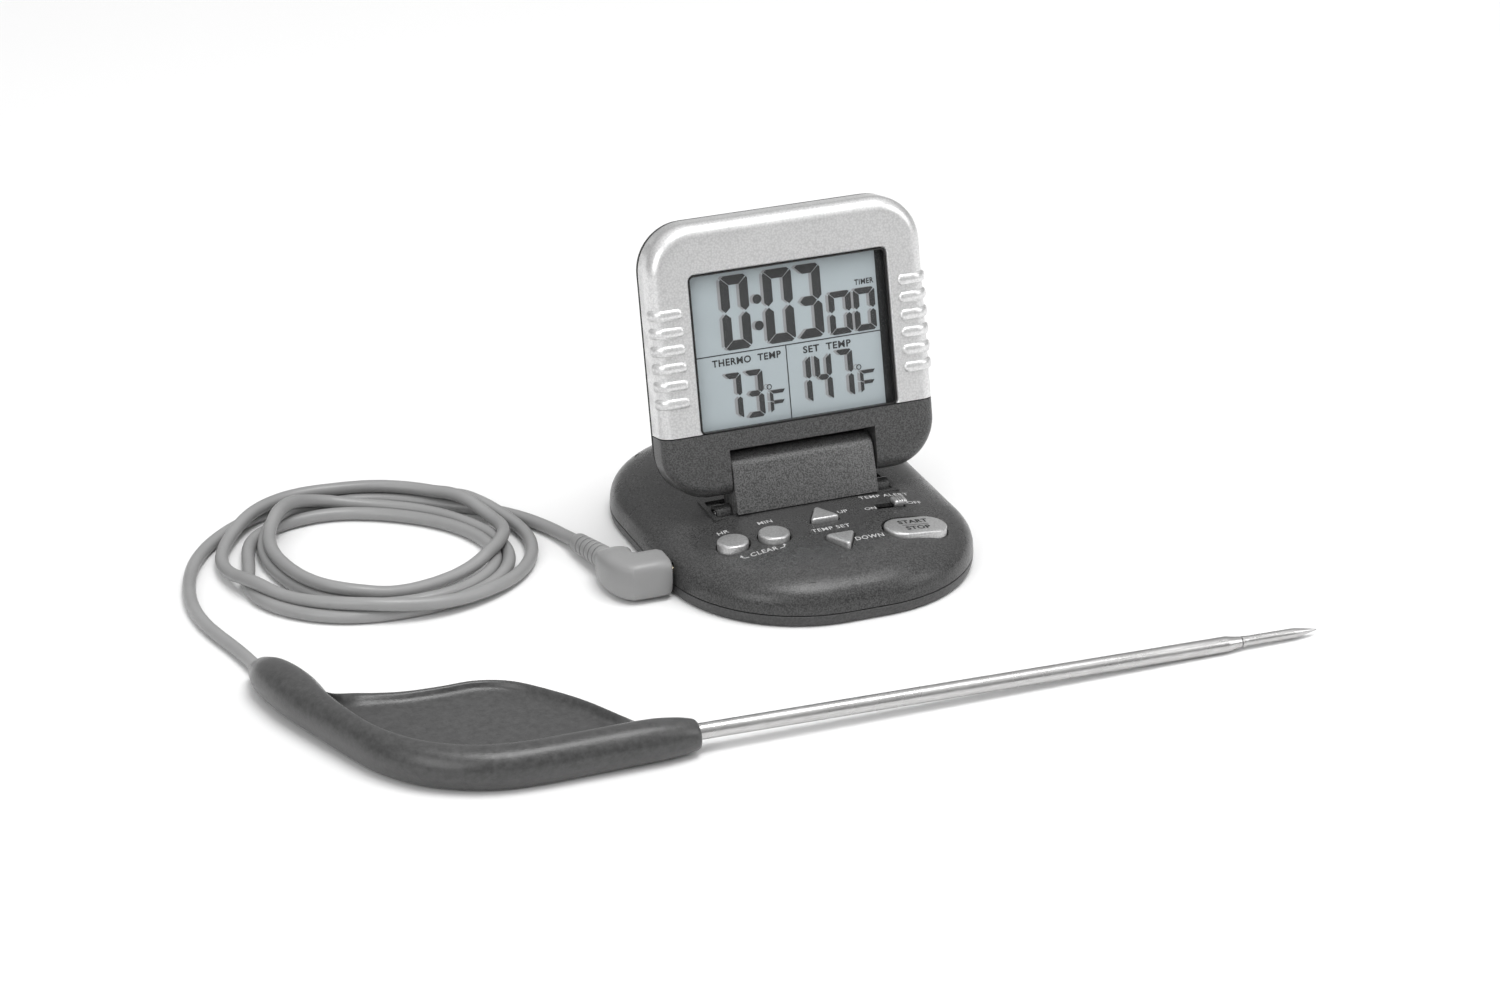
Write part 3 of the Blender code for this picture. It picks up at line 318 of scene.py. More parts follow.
def board_look():
    """A circuit board: green lacquer over faint tracks."""
    look = Look("lacquered_board_green", Coat_Weight=0.4, Coat_Roughness=0.2)
    brick = look.add("ShaderNodeTexBrick")
    brick.inputs["Scale"].default_value = 420.0
    brick.inputs["Mortar Size"].default_value = 0.035
    brick.inputs["Color1"].default_value = (0.012, 0.12, 0.045, 1.0)
    brick.inputs["Color2"].default_value = (0.016, 0.15, 0.055, 1.0)
    brick.inputs["Mortar"].default_value = (0.05, 0.27, 0.10, 1.0)
    look.link(look.where, brick.inputs["Vector"])
    look.link(brick.outputs["Color"], look.shader.inputs["Base Color"])
    look.roughness(look.noise(1.2), 0.3, 0.45)
    look.bump((brick.outputs["Fac"], 0.3, 0.03))
    return look.material


def cell_look():
    """A plain cell: a dark sleeve with one paler band near its positive end."""
    look = Look("plain_cell_sleeve", Coat_Weight=0.6, Coat_Roughness=0.15)
    parts = look.add("ShaderNodeSeparateXYZ")
    look.link(look.where, parts.inputs[0])
    along = look.mapped(parts.outputs["X"], 0.0, 1.0, -0.02225, 0.02225)
    look.colour(along, (0.0, grey(60, -0.2)), (0.70, grey(66, -0.2)), (0.72, grey(184, 0.12)),
                (0.93, grey(190, 0.12)))
    look.roughness(look.noise(1.0), 0.3, 0.4)
    look.bump((look.noise(0.8), 0.1, 0.02))
    return look.material


def panel_look():
    """The display's glass: a pale blue-grey reflector under a satin polariser."""
    look = Look("display_reflector", Coat_Weight=0.25, Coat_Roughness=0.12)
    cloud = look.noise(22.0, 2.0)
    fine = look.noise(0.22, 2.0)
    look.colour(cloud, (0.3, (linear(168), linear(178), linear(182), 1.0)),
                (0.7, (linear(174), linear(184), linear(188), 1.0)))
    look.roughness(fine, 0.42, 0.55)
    look.bump((fine, 0.06, 0.01))
    return look.material


def lens_look():
    look = Look("clear_lens", Alpha=0.04, Specular_IOR_Level=0.6)
    haze = look.noise(7.0, 2.0)
    look.colour(haze, (0.3, (0.10, 0.11, 0.115, 1.0)), (0.7, (0.14, 0.15, 0.155, 1.0)))
    look.roughness(haze, 0.04, 0.09)
    return look.material


# Flat colours for print, and for the segments' painted shadow.
def print_and_shadow_look(name, value, warm, rough):
    look = Look(name)
    fine = look.noise(0.3, 2.0)
    look.colour(fine, (0.3, grey(value - 3, warm)), (0.7, grey(value + 4, warm)))
    look.roughness(fine, rough - 0.05, rough + 0.05)
    return look.material


brass = plated_look()
board_green = board_look()
cell_sleeve = cell_look()
panel_glass = panel_look()
lens_clear = lens_look()
segment_ink = print_and_shadow_look("segment_ink", 50, -0.02, 0.4)
# A paler grey for the digits' painted shadow: a copy of every segment, offset beside it on the glass.
painted_segment_shadow = print_and_shadow_look("segment_shadow", 146, -0.02, 0.6)
panel_ink = print_and_shadow_look("panel_print", 44, -0.02, 0.5)
label_ink = print_and_shadow_look("pale_label_print", 184, 0.0, 0.55)
key_ink = print_and_shadow_look("dark_label_print", 30, 0.0, 0.5)

# --- outlines and solids ---------------------------------------------------------------------


def rounded_rectangle(half_x, half_y, radius, centre=(0.0, 0.0), steps=24, across=1, along=1):
    """Points round a rectangle with round corners, anticlockwise, with its sides cut into runs."""
    points = []
    radius = max(radius, 0.05)
    for corner in range(4):
        side_x = 1 if corner in (0, 3) else -1
        side_y = 1 if corner in (0, 1) else -1
        for step in range(steps + 1):
            turn = radians(90 * corner + 90 * step / steps)
            points.append((centre[0] + side_x * (half_x - radius) + radius * cos(turn),
                           centre[1] + side_y * (half_y - radius) + radius * sin(turn)))
        runs = across if corner in (0, 2) else along
        next_x = -side_x if corner in (0, 2) else side_x
        next_y = side_y if corner in (0, 2) else -side_y
        turn = radians(90 * (corner + 1))
        end = (centre[0] + next_x * (half_x - radius) + radius * cos(turn),
               centre[1] + next_y * (half_y - radius) + radius * sin(turn))
        start = points[-1]
        for run in range(1, runs):
            share = run / runs
            points.append((start[0] + (end[0] - start[0]) * share,
                           start[1] + (end[1] - start[1]) * share))
    return points


def circle(radius, steps, centre=(0.0, 0.0)):
    turns = [2 * pi * step / steps for step in range(steps)]
    return [(centre[0] + radius * cos(turn), centre[1] + radius * sin(turn)) for turn in turns]


def arc(centre, radius, start, end, steps):
    """Points on an arc from one angle to another, both in degrees."""
    turns = [radians(start + (end - start) * step / steps) for step in range(steps + 1)]
    return [(centre[0] + radius * cos(turn), centre[1] + radius * sin(turn)) for turn in turns]


def loft(rings, closed=False, caps=(True, True)):
    count = len(rings[0])
    points = [point for ring in rings for point in ring]
    faces = []
    spans = len(rings) if closed else len(rings) - 1
    for span in range(spans):
        this = span * count
        following = ((span + 1) % len(rings)) * count
        for step in range(count):
            after = (step + 1) % count
            faces.append((this + step, this + after, following + after, following + step))
    if not closed and caps[0]:
        faces.append(tuple(range(count)))
    if not closed and caps[1]:
        faces.append(tuple(range(len(points) - count, len(points))))
    return points, faces


def cut(*solids):
    return "DIFFERENCE", solids


def join(*solids):
    return "UNION", solids


def raised(outline, z):
    return [(x, y, z) for x, y in outline]


def along_z(outline, low, high):
    return loft([raised(outline, z) for z in (low, high)])


def along_x(outline, low, high):
    return loft([[(x, y, z) for y, z in outline] for x in (low, high)])


def box(low, high):
    outline = [(low[0], low[1]), (high[0], low[1]), (high[0], high[1]), (low[0], high[1])]
    return along_z(outline, low[2], high[2])


def together(solids):
    points = []
    faces = []
    for some_points, some_faces in solids:
        start = len(points)
        points += list(some_points)
        faces += [tuple(start + index for index in face) for face in some_faces]
    return points, faces


def turned(start, end, profile, steps=32, hollow=False):
    """A turned solid about the line from start to end, from (radius, distance) pairs."""
    start = Vector(start)
    direction = (Vector(end) - start).normalized()
    side = direction.orthogonal().normalized()
    other = direction.cross(side)
    rings = []
    for radius, distance in profile:
        middle = start + direction * distance
        rings.append([tuple(middle + side * x + other * y) for x, y in circle(radius, steps)])
    return loft(rings, closed=hollow)


HEAD_TILT = radians(13.2)
HEAD_FOOT = (-7.1, 33.54)


def head_place(x, h, d):
    y = HEAD_FOOT[0] + h * sin(HEAD_TILT) + d * cos(HEAD_TILT)
    z = HEAD_FOOT[1] + h * cos(HEAD_TILT) - d * sin(HEAD_TILT)
    return (x, y, z)


def in_head(solid):
    points, faces = solid
    return [head_place(*point) for point in points], faces


def raw_mesh(name, solid, outwards=True):
    points, faces = solid
    mesh = bpy.data.meshes.new(name)
    mesh.from_pydata([Vector(point) * MM for point in points], [], faces)
    if outwards:
        work = bmesh.new()
        work.from_mesh(mesh)
        bmesh.ops.recalc_face_normals(work, faces=work.faces)
        work.to_mesh(mesh)
        work.free()
    return mesh


def shade(mesh, angle=32.0):
    mesh.shade_smooth()
    mesh.set_sharp_from_angle(angle=radians(angle))


def piece(name, solid, look, body, replaced=(), angle=32.0, outwards=True):
    """One visible piece: it rides on a body and stands for the CAD nodes that it replaces."""
    mesh = raw_mesh(name, solid, outwards)
    shade(mesh, angle)
    mesh.materials.append(look)
    made = bpy.data.objects.new(name, mesh)
    bpy.context.scene.collection.objects.link(made)
    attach(made, body)
    if replaced:
        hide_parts(*replaced)
    return made


def carve(target, *steps, angle=32.0):
    """Applies (operation, solids) steps to a piece, one Boolean each."""
    helpers = []
    for operation, solids in steps:
        helper = bpy.data.objects.new("helper", raw_mesh("helper", together(solids)))
        bpy.context.scene.collection.objects.link(helper)
        helpers.append(helper)
        modifier = target.modifiers.new(operation, "BOOLEAN")
        modifier.operation = operation
        modifier.solver = "EXACT"
        modifier.object = helper
    bpy.context.view_layer.update()
    graph = bpy.context.evaluated_depsgraph_get()
    mesh = bpy.data.meshes.new_from_object(target.evaluated_get(graph))
    target.modifiers.clear()
    target.data = mesh
    for helper in helpers:
        bpy.data.objects.remove(helper, do_unlink=True)
    shade(mesh, angle)
    return target


def borrow_shading(target, solid, reach=0.004, agree=0.93):
    """Gives a carved piece the shading of its uncarved skin wherever it still lies on it."""
    skin = raw_mesh("skin", solid, outwards=False)
    tree = BVHTree.FromPolygons([v.co for v in skin.vertices],
                                [tuple(p.vertices) for p in skin.polygons])
    normals = [v.normal.copy() for v in skin.vertices]
    mesh = target.data
    found = [corner.vector.copy() for corner in mesh.corner_normals]
    for polygon in mesh.polygons:
        for loop in polygon.loop_indices:
            point = mesh.vertices[mesh.loops[loop].vertex_index].co
            place, normal, index, distance = tree.find_nearest(point)
            if distance > reach * MM:
                continue
            sign = 1.0 if polygon.normal.dot(normal) > 0 else -1.0
            if polygon.normal.dot(normal) * sign < agree:
                continue
            corners = skin.polygons[index].vertices
            weights = poly_3d_calc([skin.vertices[i].co for i in corners], place)
            blended = Vector((0.0, 0.0, 0.0))
            for weight, corner in zip(weights, corners):
                blended += weight * normals[corner] * sign
            if blended.length > 0.5:
                found[loop] = blended.normalized()
    mesh.normals_split_custom_set(found)
    bpy.data.meshes.remove(skin)


# --- the free cord ---------------------------------------------------------------------------

CORD_RADIUS = 1.6
CORD_APART = 3.24
CORD_Z = 1.65
SETTLE_SPACING = 2.5
SETTLE_STEPS = 500
# Points closer than this along the cord are neighbours, and don't push each other apart.
NEIGHBOUR_REACH = 7.0
# Turns whose wanted heights differ by more than this cross, one over the other.
CROSSING_RISE = 0.9
KNOT_SPACING = 5.2

# The route from the handle, round the coil and to the plug. A third number is the height
# wanted at a point; where there is none, the cord lies on the table.
CORD_ROUTE = (
    (-140.42, -24.45, 2.0), (-141.2, -18.0, 1.8), (-141.9, -13.0), (-144.0, -4.5), (-145.6, 6.0),
    (-144.9, 17.0), (-142.0, 28.0), (-137.2, 38.0), (-129.5, 47.0), (-117.5, 55.0),
    (-101.5, 59.6), (-87.0, 56.3), (-74.0, 47.4, 2.2), (-65.0, 36.0, 3.4), (-60.3, 24.0, 4.0),
    (-62.0, 11.5, 3.8), (-69.0, 1.0, 4.0), (-79.5, -6.5, 4.6), (-91.4, -9.8, 4.8),
    (-101.5, -9.3, 4.8), (-111.3, -5.7, 4.8), (-119.5, -0.3, 4.8), (-125.5, 7.1, 4.8),
    (-130.5, 15.5, 4.8), (-132.9, 24.0, 4.8), (-133.0, 32.0, 4.8), (-130.3, 39.5, 4.8),
    (-122.5, 50.0, 4.8), (-112.5, 56.3, 4.8), (-103.3, 58.2, 4.8), (-93.0, 56.8, 5.0),
    (-83.0, 52.6, 5.2), (-74.5, 45.8, 5.8), (-68.0, 35.5, 6.4), (-65.6, 26.0, 6.8),
    (-67.3, 17.0, 6.8), (-74.5, 9.0, 6.2), (-85.0, 4.0, 5.6), (-96.8, 1.3, 4.9),
    (-105.0, 0.6, 4.8), (-112.0, 3.4, 4.8), (-117.6, 10.2, 4.8), (-120.4, 20.0, 5.0),
    (-121.0, 30.0, 5.2), (-119.0, 39.5, 5.4), (-113.0, 47.5, 5.2), (-104.5, 53.4, 4.6),
    (-95.0, 51.5, 4.2), (-85.0, 47.4, 3.4), (-76.5, 40.5, 2.6), (-70.5, 31.0, 1.9), (-67.2, 20.0),
    (-67.9, 11.0), (-73.5, 1.5), (-82.5, -4.8), (-94.0, -7.8), (-106.0, -7.6), (-116.8, -3.9),
    (-124.5, 2.2), (-129.3, 9.5), (-130.6, 18.0), (-127.0, 28.0), (-125.5, 36.0), (-121.5, 43.5),
    (-113.0, 48.3), (-103.2, 50.0), (-94.5, 47.8), (-86.2, 43.2), (-78.5, 36.8), (-72.8, 28.5),
    (-70.2, 19.5), (-71.3, 11.0), (-76.5, 3.5), (-85.0, -1.8), (-95.5, -3.2), (-106.0, -1.5),
    (-115.0, 5.5), (-120.0, 15.0), (-122.0, 26.0), (-121.2, 37.5), (-116.5, 45.5, 3.2),
    (-109.0, 52.0, 3.4), (-99.5, 55.5, 2.6), (-89.0, 55.0), (-79.0, 50.2), (-69.0, 42.5),
    (-62.0, 35.5), (-57.2, 29.2), (-53.3, 20.5), (-52.0, 15.5, 2.2), (-51.1, 10.4, 3.05),
)


def catmull_rom(p0, p1, p2, p3, t):
    """The point at a share t of the way from p1 to p2 on a smooth curve through all four."""
    return 0.5 * (2 * p1 + (p2 - p0) * t + (2 * p0 - 5 * p1 + 4 * p2 - p3) * t * t
                  + (3 * p1 - p0 - 3 * p2 + p3) * t ** 3)


def resampled(points, spacing):
    """Even points along a Catmull-Rom curve through the given ones, as an array."""
    points = np.array(points, float)
    ends = np.vstack([2 * points[0] - points[1], points, 2 * points[-1] - points[-2]])
    fine = []
    for index in range(len(points) - 1):
        for t in np.arange(16) / 16:
            fine.append(catmull_rom(*ends[index:index + 4], t))
    fine.append(points[-1])
    fine = np.array(fine)
    walked = np.concatenate([[0], np.cumsum(np.linalg.norm(np.diff(fine, axis=0), axis=1))])
    count = max(2, round(walked[-1] / spacing))
    wanted = np.linspace(0, walked[-1], count + 1)
    return np.column_stack([np.interp(wanted, walked, fine[:, axis]) for axis in range(3)])


def settled(route):
    """Lets the cord settle: turns that would share space move apart, the upper one over the
    lower one in a long hump, and every turn keeps as low and as smooth as it can."""
    line = resampled(route, SETTLE_SPACING)
    wanted = line.copy()
    count = len(line)
    along = np.arange(count) * SETTLE_SPACING
    apart = np.abs(np.subtract.outer(along, along)) > NEIGHBOUR_REACH
    rank = np.subtract.outer(wanted[:, 2], wanted[:, 2])
    upper = np.sign(rank)
    crossing = apart & (np.abs(rank) > CROSSING_RISE)
    for _ in range(SETTLE_STEPS):
        gap = line[:, None, :] - line[None, :, :]
        flat = gap[:, :, 0] ** 2 + gap[:, :, 1] ** 2
        distance = np.sqrt(flat + gap[:, :, 2] ** 2) + 1e-9
        close = distance < CORD_APART
        needed = np.sqrt(np.maximum(CORD_APART ** 2 - flat, 0))
        climb = upper * np.maximum(needed - upper * gap[:, :, 2], 0)
        lift = np.where(close & crossing, climb, 0.0)
        most, least = lift.max(axis=1), lift.min(axis=1)
        line[:, 2] += 0.5 * np.where(np.abs(most) > np.abs(least), most, least)
        aside = np.where(close & apart, (CORD_APART - distance) / (np.sqrt(flat) + 0.3), 0.0)
        aside = np.where(apart & ~crossing, aside, 0.05 * aside)
        number = np.maximum((aside > 0).sum(axis=1), 1)
        line[:, :2] += 0.45 * (aside[:, :, None] * gap[:, :, :2]).sum(axis=1) / number[:, None]
        middle = 0.5 * (line[:-2] + line[2:]) - line[1:-1]
        ease = np.zeros_like(line)
        ease[1:-1] = middle
        wide = np.zeros_like(line)
        wide[1:-1] = ease[1:-1] - 0.5 * (ease[:-2] + ease[2:])
        line += 0.2 * wide
        line[1:-1, 2] += 0.2 * middle[:, 2]
        line[:, :2] += 0.006 * (wanted[:, :2] - line[:, :2])
        line[:, 2] -= 0.01 * np.maximum(line[:, 2] - CORD_Z, 0)
        line[:, 2] = np.maximum(line[:, 2], CORD_Z)
        line[:2] = wanted[:2]
        line[-2:] = wanted[-2:]
    return line


def make_cord():
    route = [(*point, CORD_Z)[:3] for point in CORD_ROUTE]
    line = resampled(settled(route), KNOT_SPACING)
    length = float(np.linalg.norm(np.diff(line, axis=0), axis=1).sum())
    curve = bpy.data.curves.new("probe_cord", "CURVE")
    curve.dimensions = "3D"
    curve.resolution_u = 5
    curve.bevel_depth = CORD_RADIUS * MM
    curve.bevel_resolution = 5
    curve.use_fill_caps = True
    spline = curve.splines.new("BEZIER")
    spline.bezier_points.add(len(line) - 1)
    for point, place in zip(spline.bezier_points, line):
        point.co = Vector(place) * MM
        point.handle_left_type = "AUTO"
        point.handle_right_type = "AUTO"
    curve.materials.append(cord_grey)
    made = bpy.data.objects.new("probe_cord", curve)
    bpy.context.scene.collection.objects.link(made)
    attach(made, "lead")
    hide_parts("cord_to_plug", "cord_coil", "cord_to_probe")
    return made, line[0], length


cord, cord_exit, cord_length = make_cord()

# --- base ------------------------------------------------------------------------------------

BASE_HALF_X = 38.1
BASE_HALF_Y = 49.5
BASE_CORNER = 33.0
CROWN_FOOT = 3.07
CROWN_RISE = 10.63
CROWN_REACH = 30.0
# The shell's inner face and the cover's lower edge, as (inset, height) pairs.
CROWN_INSIDE = ((2.0, 3.25), (2.4, 7.2), (4.0, 8.8), (7.0, 10.2), (12.0, 11.5), (18.0, 12.35),
                (24.0, 12.7))
COVER_ROUNDING = ((0.03, 2.3), (0.1, 1.7), (0.22, 1.1), (0.38, 0.65), (0.6, 0.3), (0.9, 0.1),
                  (1.25, 0.0))
POCKET_HALF_X = 22.6
POCKET_Y = (-10.35, -1.0)
POCKET_FLOOR = 9.4
POCKET_STEP = 12.7
LOWER_PIVOT = (-6.9, 12.6)
KNUCKLE_X = (18.6, 22.3)
KNUCKLE_RADIUS = 2.2
PIN_BORE = 1.28
SCREW_PLACES = ((-12.0, -42.5), (12.0, -42.5), (-24.0, 36.0), (24.0, 36.0))
SCREW_BORE = 1.2
BOSS_RADIUS = 2.3
THREAD_PITCH = 0.8
DOOR_CENTRE = (0.0, 22.0)
PLUG_Y = -17.8
PLUG_Z = 5.45
# A height over every part of the base.
ABOVE = 20.0


def crown_height(inset):
    """Height of the base's outer skin at a distance in from its outline."""
    share = min(max(inset / CROWN_REACH, 0.0), 1.0)
    return CROWN_FOOT + CROWN_RISE * (1 - (1 - share) ** 2.24) ** (1 / 2.93)


def crown_at(x, y):
    """Height of the outer skin over a point of the base."""
    out_x = abs(x) - (BASE_HALF_X - BASE_CORNER)
    out_y = abs(y) - (BASE_HALF_Y - BASE_CORNER)
    outside = Vector((max(out_x, 0.0), max(out_y, 0.0))).length + min(max(out_x, out_y), 0.0)
    return crown_height(BASE_CORNER - outside)


def base_ring(inset, z):
    outline = rounded_rectangle(BASE_HALF_X - inset, BASE_HALF_Y - inset, BASE_CORNER - inset,
                                steps=22, across=3, along=9)
    return raised(outline, z)


def crown_rings():
    rings = [base_ring(0.0, 3.25)]
    for step in range(6, 38):
        inset = CROWN_REACH * (step / 38) ** 3
        rings.append(base_ring(inset, crown_height(inset)))
    return rings


KEY_PLACES = {
    "hr_button": (-24.3, -24.1, 13.9),
    "min_button": (-14.3, -25.2, 14.8),
    "up_button": (0.0, -19.9, 14.9),
    "down_button": (0.3, -32.6, 14.35),
    "start_stop_button": (19.5, -31.0, 13.2),
}
KEY_SLOPE = {"hr_button": 0.05, "start_stop_button": -0.08}
KEY_GAP = 0.3
SWITCH = (20.3, -19.2)
SWITCH_TRAVEL = 4.5
SWITCH_RINGS = ((1.0, 0.95, 9.2), (1.0, 0.95, 13.72), (1.6, 1.6, 13.75), (1.65, 1.65, 13.85),
                (1.65, 1.65, 14.4), (1.6, 1.6, 14.65), (1.45, 1.45, 14.83), (1.25, 1.25, 14.9))


def rounded_triangle(place, up, grow, steps=6):
    radius = 0.6 + grow
    sign = 1 if up else -1
    corners = ((0.0, 3.078), (-2.85, -2.022), (2.85, -2.022))
    points = []
    for corner, (x, y) in enumerate(corners):
        for step in range(steps + 1):
            turn = radians(30 + 120 * corner + 120 * step / steps)
            points.append((place[0] + x + radius * cos(turn),
                           place[1] + sign * (y + radius * sin(turn))))
    return points


def key_outline(name, grow):
    place = KEY_PLACES[name]
    if name in ("hr_button", "min_button"):
        return circle(3.75 + grow, 48, place[:2])
    if name == "start_stop_button":
        return rounded_rectangle(7.8 + grow, 4.65 + grow, 4.65 + grow, place[:2], 14, 6, 1)
    return rounded_triangle(place, name == "up_button", grow)


def at_base_screws(radius, steps, low, high):
    """A round solid at each of the base's screws, between two heights."""
    return [along_z(circle(radius, steps, place), low, high) for place in SCREW_PLACES]


def base_knuckle(side):
    """A round-topped lug that holds the lower pin."""
    over = arc(LOWER_PIVOT, KNUCKLE_RADIUS, 0, 180, 20)
    foot = [(over[-1][0], POCKET_FLOOR - 0.4), (over[0][0], POCKET_FLOOR - 0.4)]
    return along_x(over + foot, side * KNUCKLE_X[0], side * KNUCKLE_X[1])


def pocket_step(side):
    """The raised floor round a lug."""
    left, right = sorted((side * KNUCKLE_X[0], side * (POCKET_HALF_X + 0.3)))
    return box((left, POCKET_Y[0] - 0.3, POCKET_FLOOR - 0.4),
               (right, POCKET_Y[1] + 0.3, POCKET_STEP))


def key_opening(name):
    """The hole that a key stands in, with a small bevel at the skin."""
    outline = key_outline(name, KEY_GAP)
    sunk = key_outline(name, KEY_GAP + 0.28)
    top = crown_at(*KEY_PLACES[name][:2]) + 0.06
    return loft([raised(outline, 8.3), raised(outline, top - 0.3), raised(sunk, top + 0.02),
                 raised(sunk, ABOVE)])


def make_base_top():
    inside = [base_ring(inset, z) for inset, z in reversed(CROWN_INSIDE)]
    shell = piece("base_upper_shell", loft(inside + crown_rings()), dark_plastic, "base",
                  ["base_top_shell"])
    walls = box((-POCKET_HALF_X - 1.2, POCKET_Y[0] - 1.2, POCKET_FLOOR - 1.2),
                (POCKET_HALF_X + 1.2, POCKET_Y[1] + 1.2, 13.3))
    outline = rounded_rectangle(POCKET_HALF_X, 4.675, 0.6, (0.0, -5.675), 5)
    pocket = along_z(outline, POCKET_FLOOR, ABOVE)
    holes = at_base_screws(SCREW_BORE, 16, 0.0, 8.9)
    for side in (-1, 1):
        bore = circle(PIN_BORE, 20, LOWER_PIVOT)
        holes.append(along_x(bore, side * (KNUCKLE_X[0] - 0.5), side * (KNUCKLE_X[1] + 0.4)))
    holes += [key_opening(name) for name in KEY_PLACES]
    middle = (SWITCH[0] - 0.5 * SWITCH_TRAVEL, SWITCH[1])
    slot = rounded_rectangle(0.5 * (SWITCH_TRAVEL + 2.8), 1.3, 0.3, middle, 4)
    holes.append(along_z(slot, 10.0, ABOVE))
    socket = circle(2.0, 28, (PLUG_Y, PLUG_Z))
    holes.append(along_x(socket, -BASE_HALF_X - 2.0, -BASE_HALF_X + 3.5))
    carve(shell, join(walls, *at_base_screws(BOSS_RADIUS, 24, 3.4, 9.9)), cut(pocket),
          join(pocket_step(-1), pocket_step(1)), join(base_knuckle(-1), base_knuckle(1)), cut(*holes))
    borrow_shading(shell, loft(crown_rings(), caps=(False, True)))


def make_base_bottom():
    rings = [base_ring(3.0, 1.5), base_ring(2.0, 2.95), base_ring(0.12, 2.95), base_ring(0.0, 2.84)]
    rings += [base_ring(inset, z) for inset, z in COVER_ROUNDING]
    cover = piece("base_lower_shell", loft(rings), dark_side, "base",
                  ["base_bottom_cover"])
    opening = along_z(rounded_rectangle(27.3, 7.8, 0.8, DOOR_CENTRE, 5), -1.0, 4.0)
    carve(cover, join(*at_base_screws(3.2, 28, 1.0, 3.0)),
          cut(*at_base_screws(BOSS_RADIUS, 28, -1.0, 1.4)),
          cut(*at_base_screws(SCREW_BORE, 16, -2.0, 6.0), opening))


def make_door():
    outline = rounded_rectangle(27.0, 7.5, 0.6, DOOR_CENTRE, 5)
    inner = rounded_rectangle(26.8, 7.3, 0.5, DOOR_CENTRE, 5)
    rings = [raised(inner, 0.1), raised(outline, 0.3), raised(outline, 1.0)]
    door = piece("battery_cover", loft(rings), dark_side, "battery_door",
                 ["battery_door"])
    ribs = [box((-7.0, y, -1.0), (7.0, y + 0.5, 0.35)) for y in (25.0, 26.2, 27.4)]
    arrow = along_z([(-1.6, 19.5), (1.6, 19.5), (0.0, 16.8)], -1.0, 0.3)
    carve(door, cut(*ribs, arrow))


def screw_solid(start, end, sunk, length):
    """A pan head with a rounded edge, a threaded shank and a blunt point."""
    profile = [(0.02, sunk + 0.02), (0.8, sunk)]
    for step in range(4):
        turn = radians(30 * step)
        profile.append((1.9 - 0.5 * (1 - sin(turn)), sunk + 0.45 * (1 - cos(turn))))
    profile += [(1.9, sunk + 1.0), (0.9, sunk + 1.0)]
    for turn in range(int((length - sunk - 2.2) / THREAD_PITCH)):
        along = sunk + 1.3 + THREAD_PITCH * turn
        profile += [(0.68, along), (0.9, along + 0.3), (0.9, along + 0.42), (0.68, along + 0.7)]
    profile += [(0.5, length - 0.2), (0.3, length)]
    return turned(start, end, profile, 28)


def cross_cut(start, end, sunk):
    """The cross recess of a screw head, as two crossed tapering slots."""
    start = Vector(start)
    direction = (Vector(end) - start).normalized()
    side = direction.orthogonal().normalized()
    other = direction.cross(side)
    solids = []
    for a, b in ((side, other), (other, side)):
        rings = []
        for depth, long, wide in ((-0.5, 1.25, 0.24), (0.05, 1.15, 0.22), (0.75, 0.5, 0.12)):
            middle = start + direction * (sunk + depth)
            corners = ((-long, -wide), (long, -wide), (long, wide), (-long, wide))
            rings.append([tuple(middle + a * x + b * y) for x, y in corners])
        solids.append(loft(rings))
    return solids


def make_screw(name, start, end, sunk, length, body, node):
    solid = screw_solid(start, end, sunk, length)
    made = piece(name, solid, screw_steel, body, [node])
    across, over = cross_cut(start, end, sunk)
    carve(made, cut(across), cut(over))


def make_screws():
    for number, (x, y) in enumerate(SCREW_PLACES, 1):
        make_screw(f"base_fixing_{number}", (x, y, 0.0), (x, y, 9.0), 0.15, 8.4, "base",
                   f"base_screw_{number}")
    for number, (x, h) in enumerate(HEAD_SCREWS, 1):
        make_screw(f"head_fixing_{number}", head_place(x, h, 12.0), head_place(x, h, 3.0), 0.1, 8.6,
                   "head", f"head_screw_{number}")


def shrunk(outline, place, amount):
    points = []
    for x, y in outline:
        away = Vector((x - place[0], y - place[1]))
        kept = away * (1 - amount / away.length)
        points.append((place[0] + kept.x, place[1] + kept.y))
    return points


def make_keys():
    """Each key: a cap with a bevelled rim round a barely crowned top, and its flange and foot."""
    for name, (x, y, top) in KEY_PLACES.items():
        slope = KEY_SLOPE.get(name, 0.0)
        outline = key_outline(name, 0.0)
        foot, stem_low = (8.5, 9.9) if name != "start_stop_button" else (8.0, 8.5)
        flange = shrunk(outline, (x, y), -0.5)
        stem = circle_like(outline, (x, y), 1.5)
        rings = [raised(stem, foot), raised(stem, stem_low - 0.55), raised(flange, stem_low - 0.55),
                 raised(flange, stem_low), raised(outline, stem_low)]
        edge = []
        for step in range(7):
            turn = radians(15 * step)
            edge.append((0.62 * (1 - cos(turn)), -0.55 * (1 - sin(turn))))
        for inset, rise in edge + [(1.1, 0.03), (1.9, 0.05), (2.6, 0.06)]:
            rings.append([(px, py, top - 0.06 + rise + slope * (px - x))
                          for px, py in shrunk(outline, (x, y), inset)])
        piece(name + "_cap", loft(rings), key_paint, name, [name], angle=40.0)


def circle_like(outline, place, radius):
    """A circle with one point for each point of an outline."""
    points = []
    for x, y in outline:
        away = Vector((x - place[0], y - place[1])).normalized() * radius
        points.append((place[0] + away.x, place[1] + away.y))
    return points


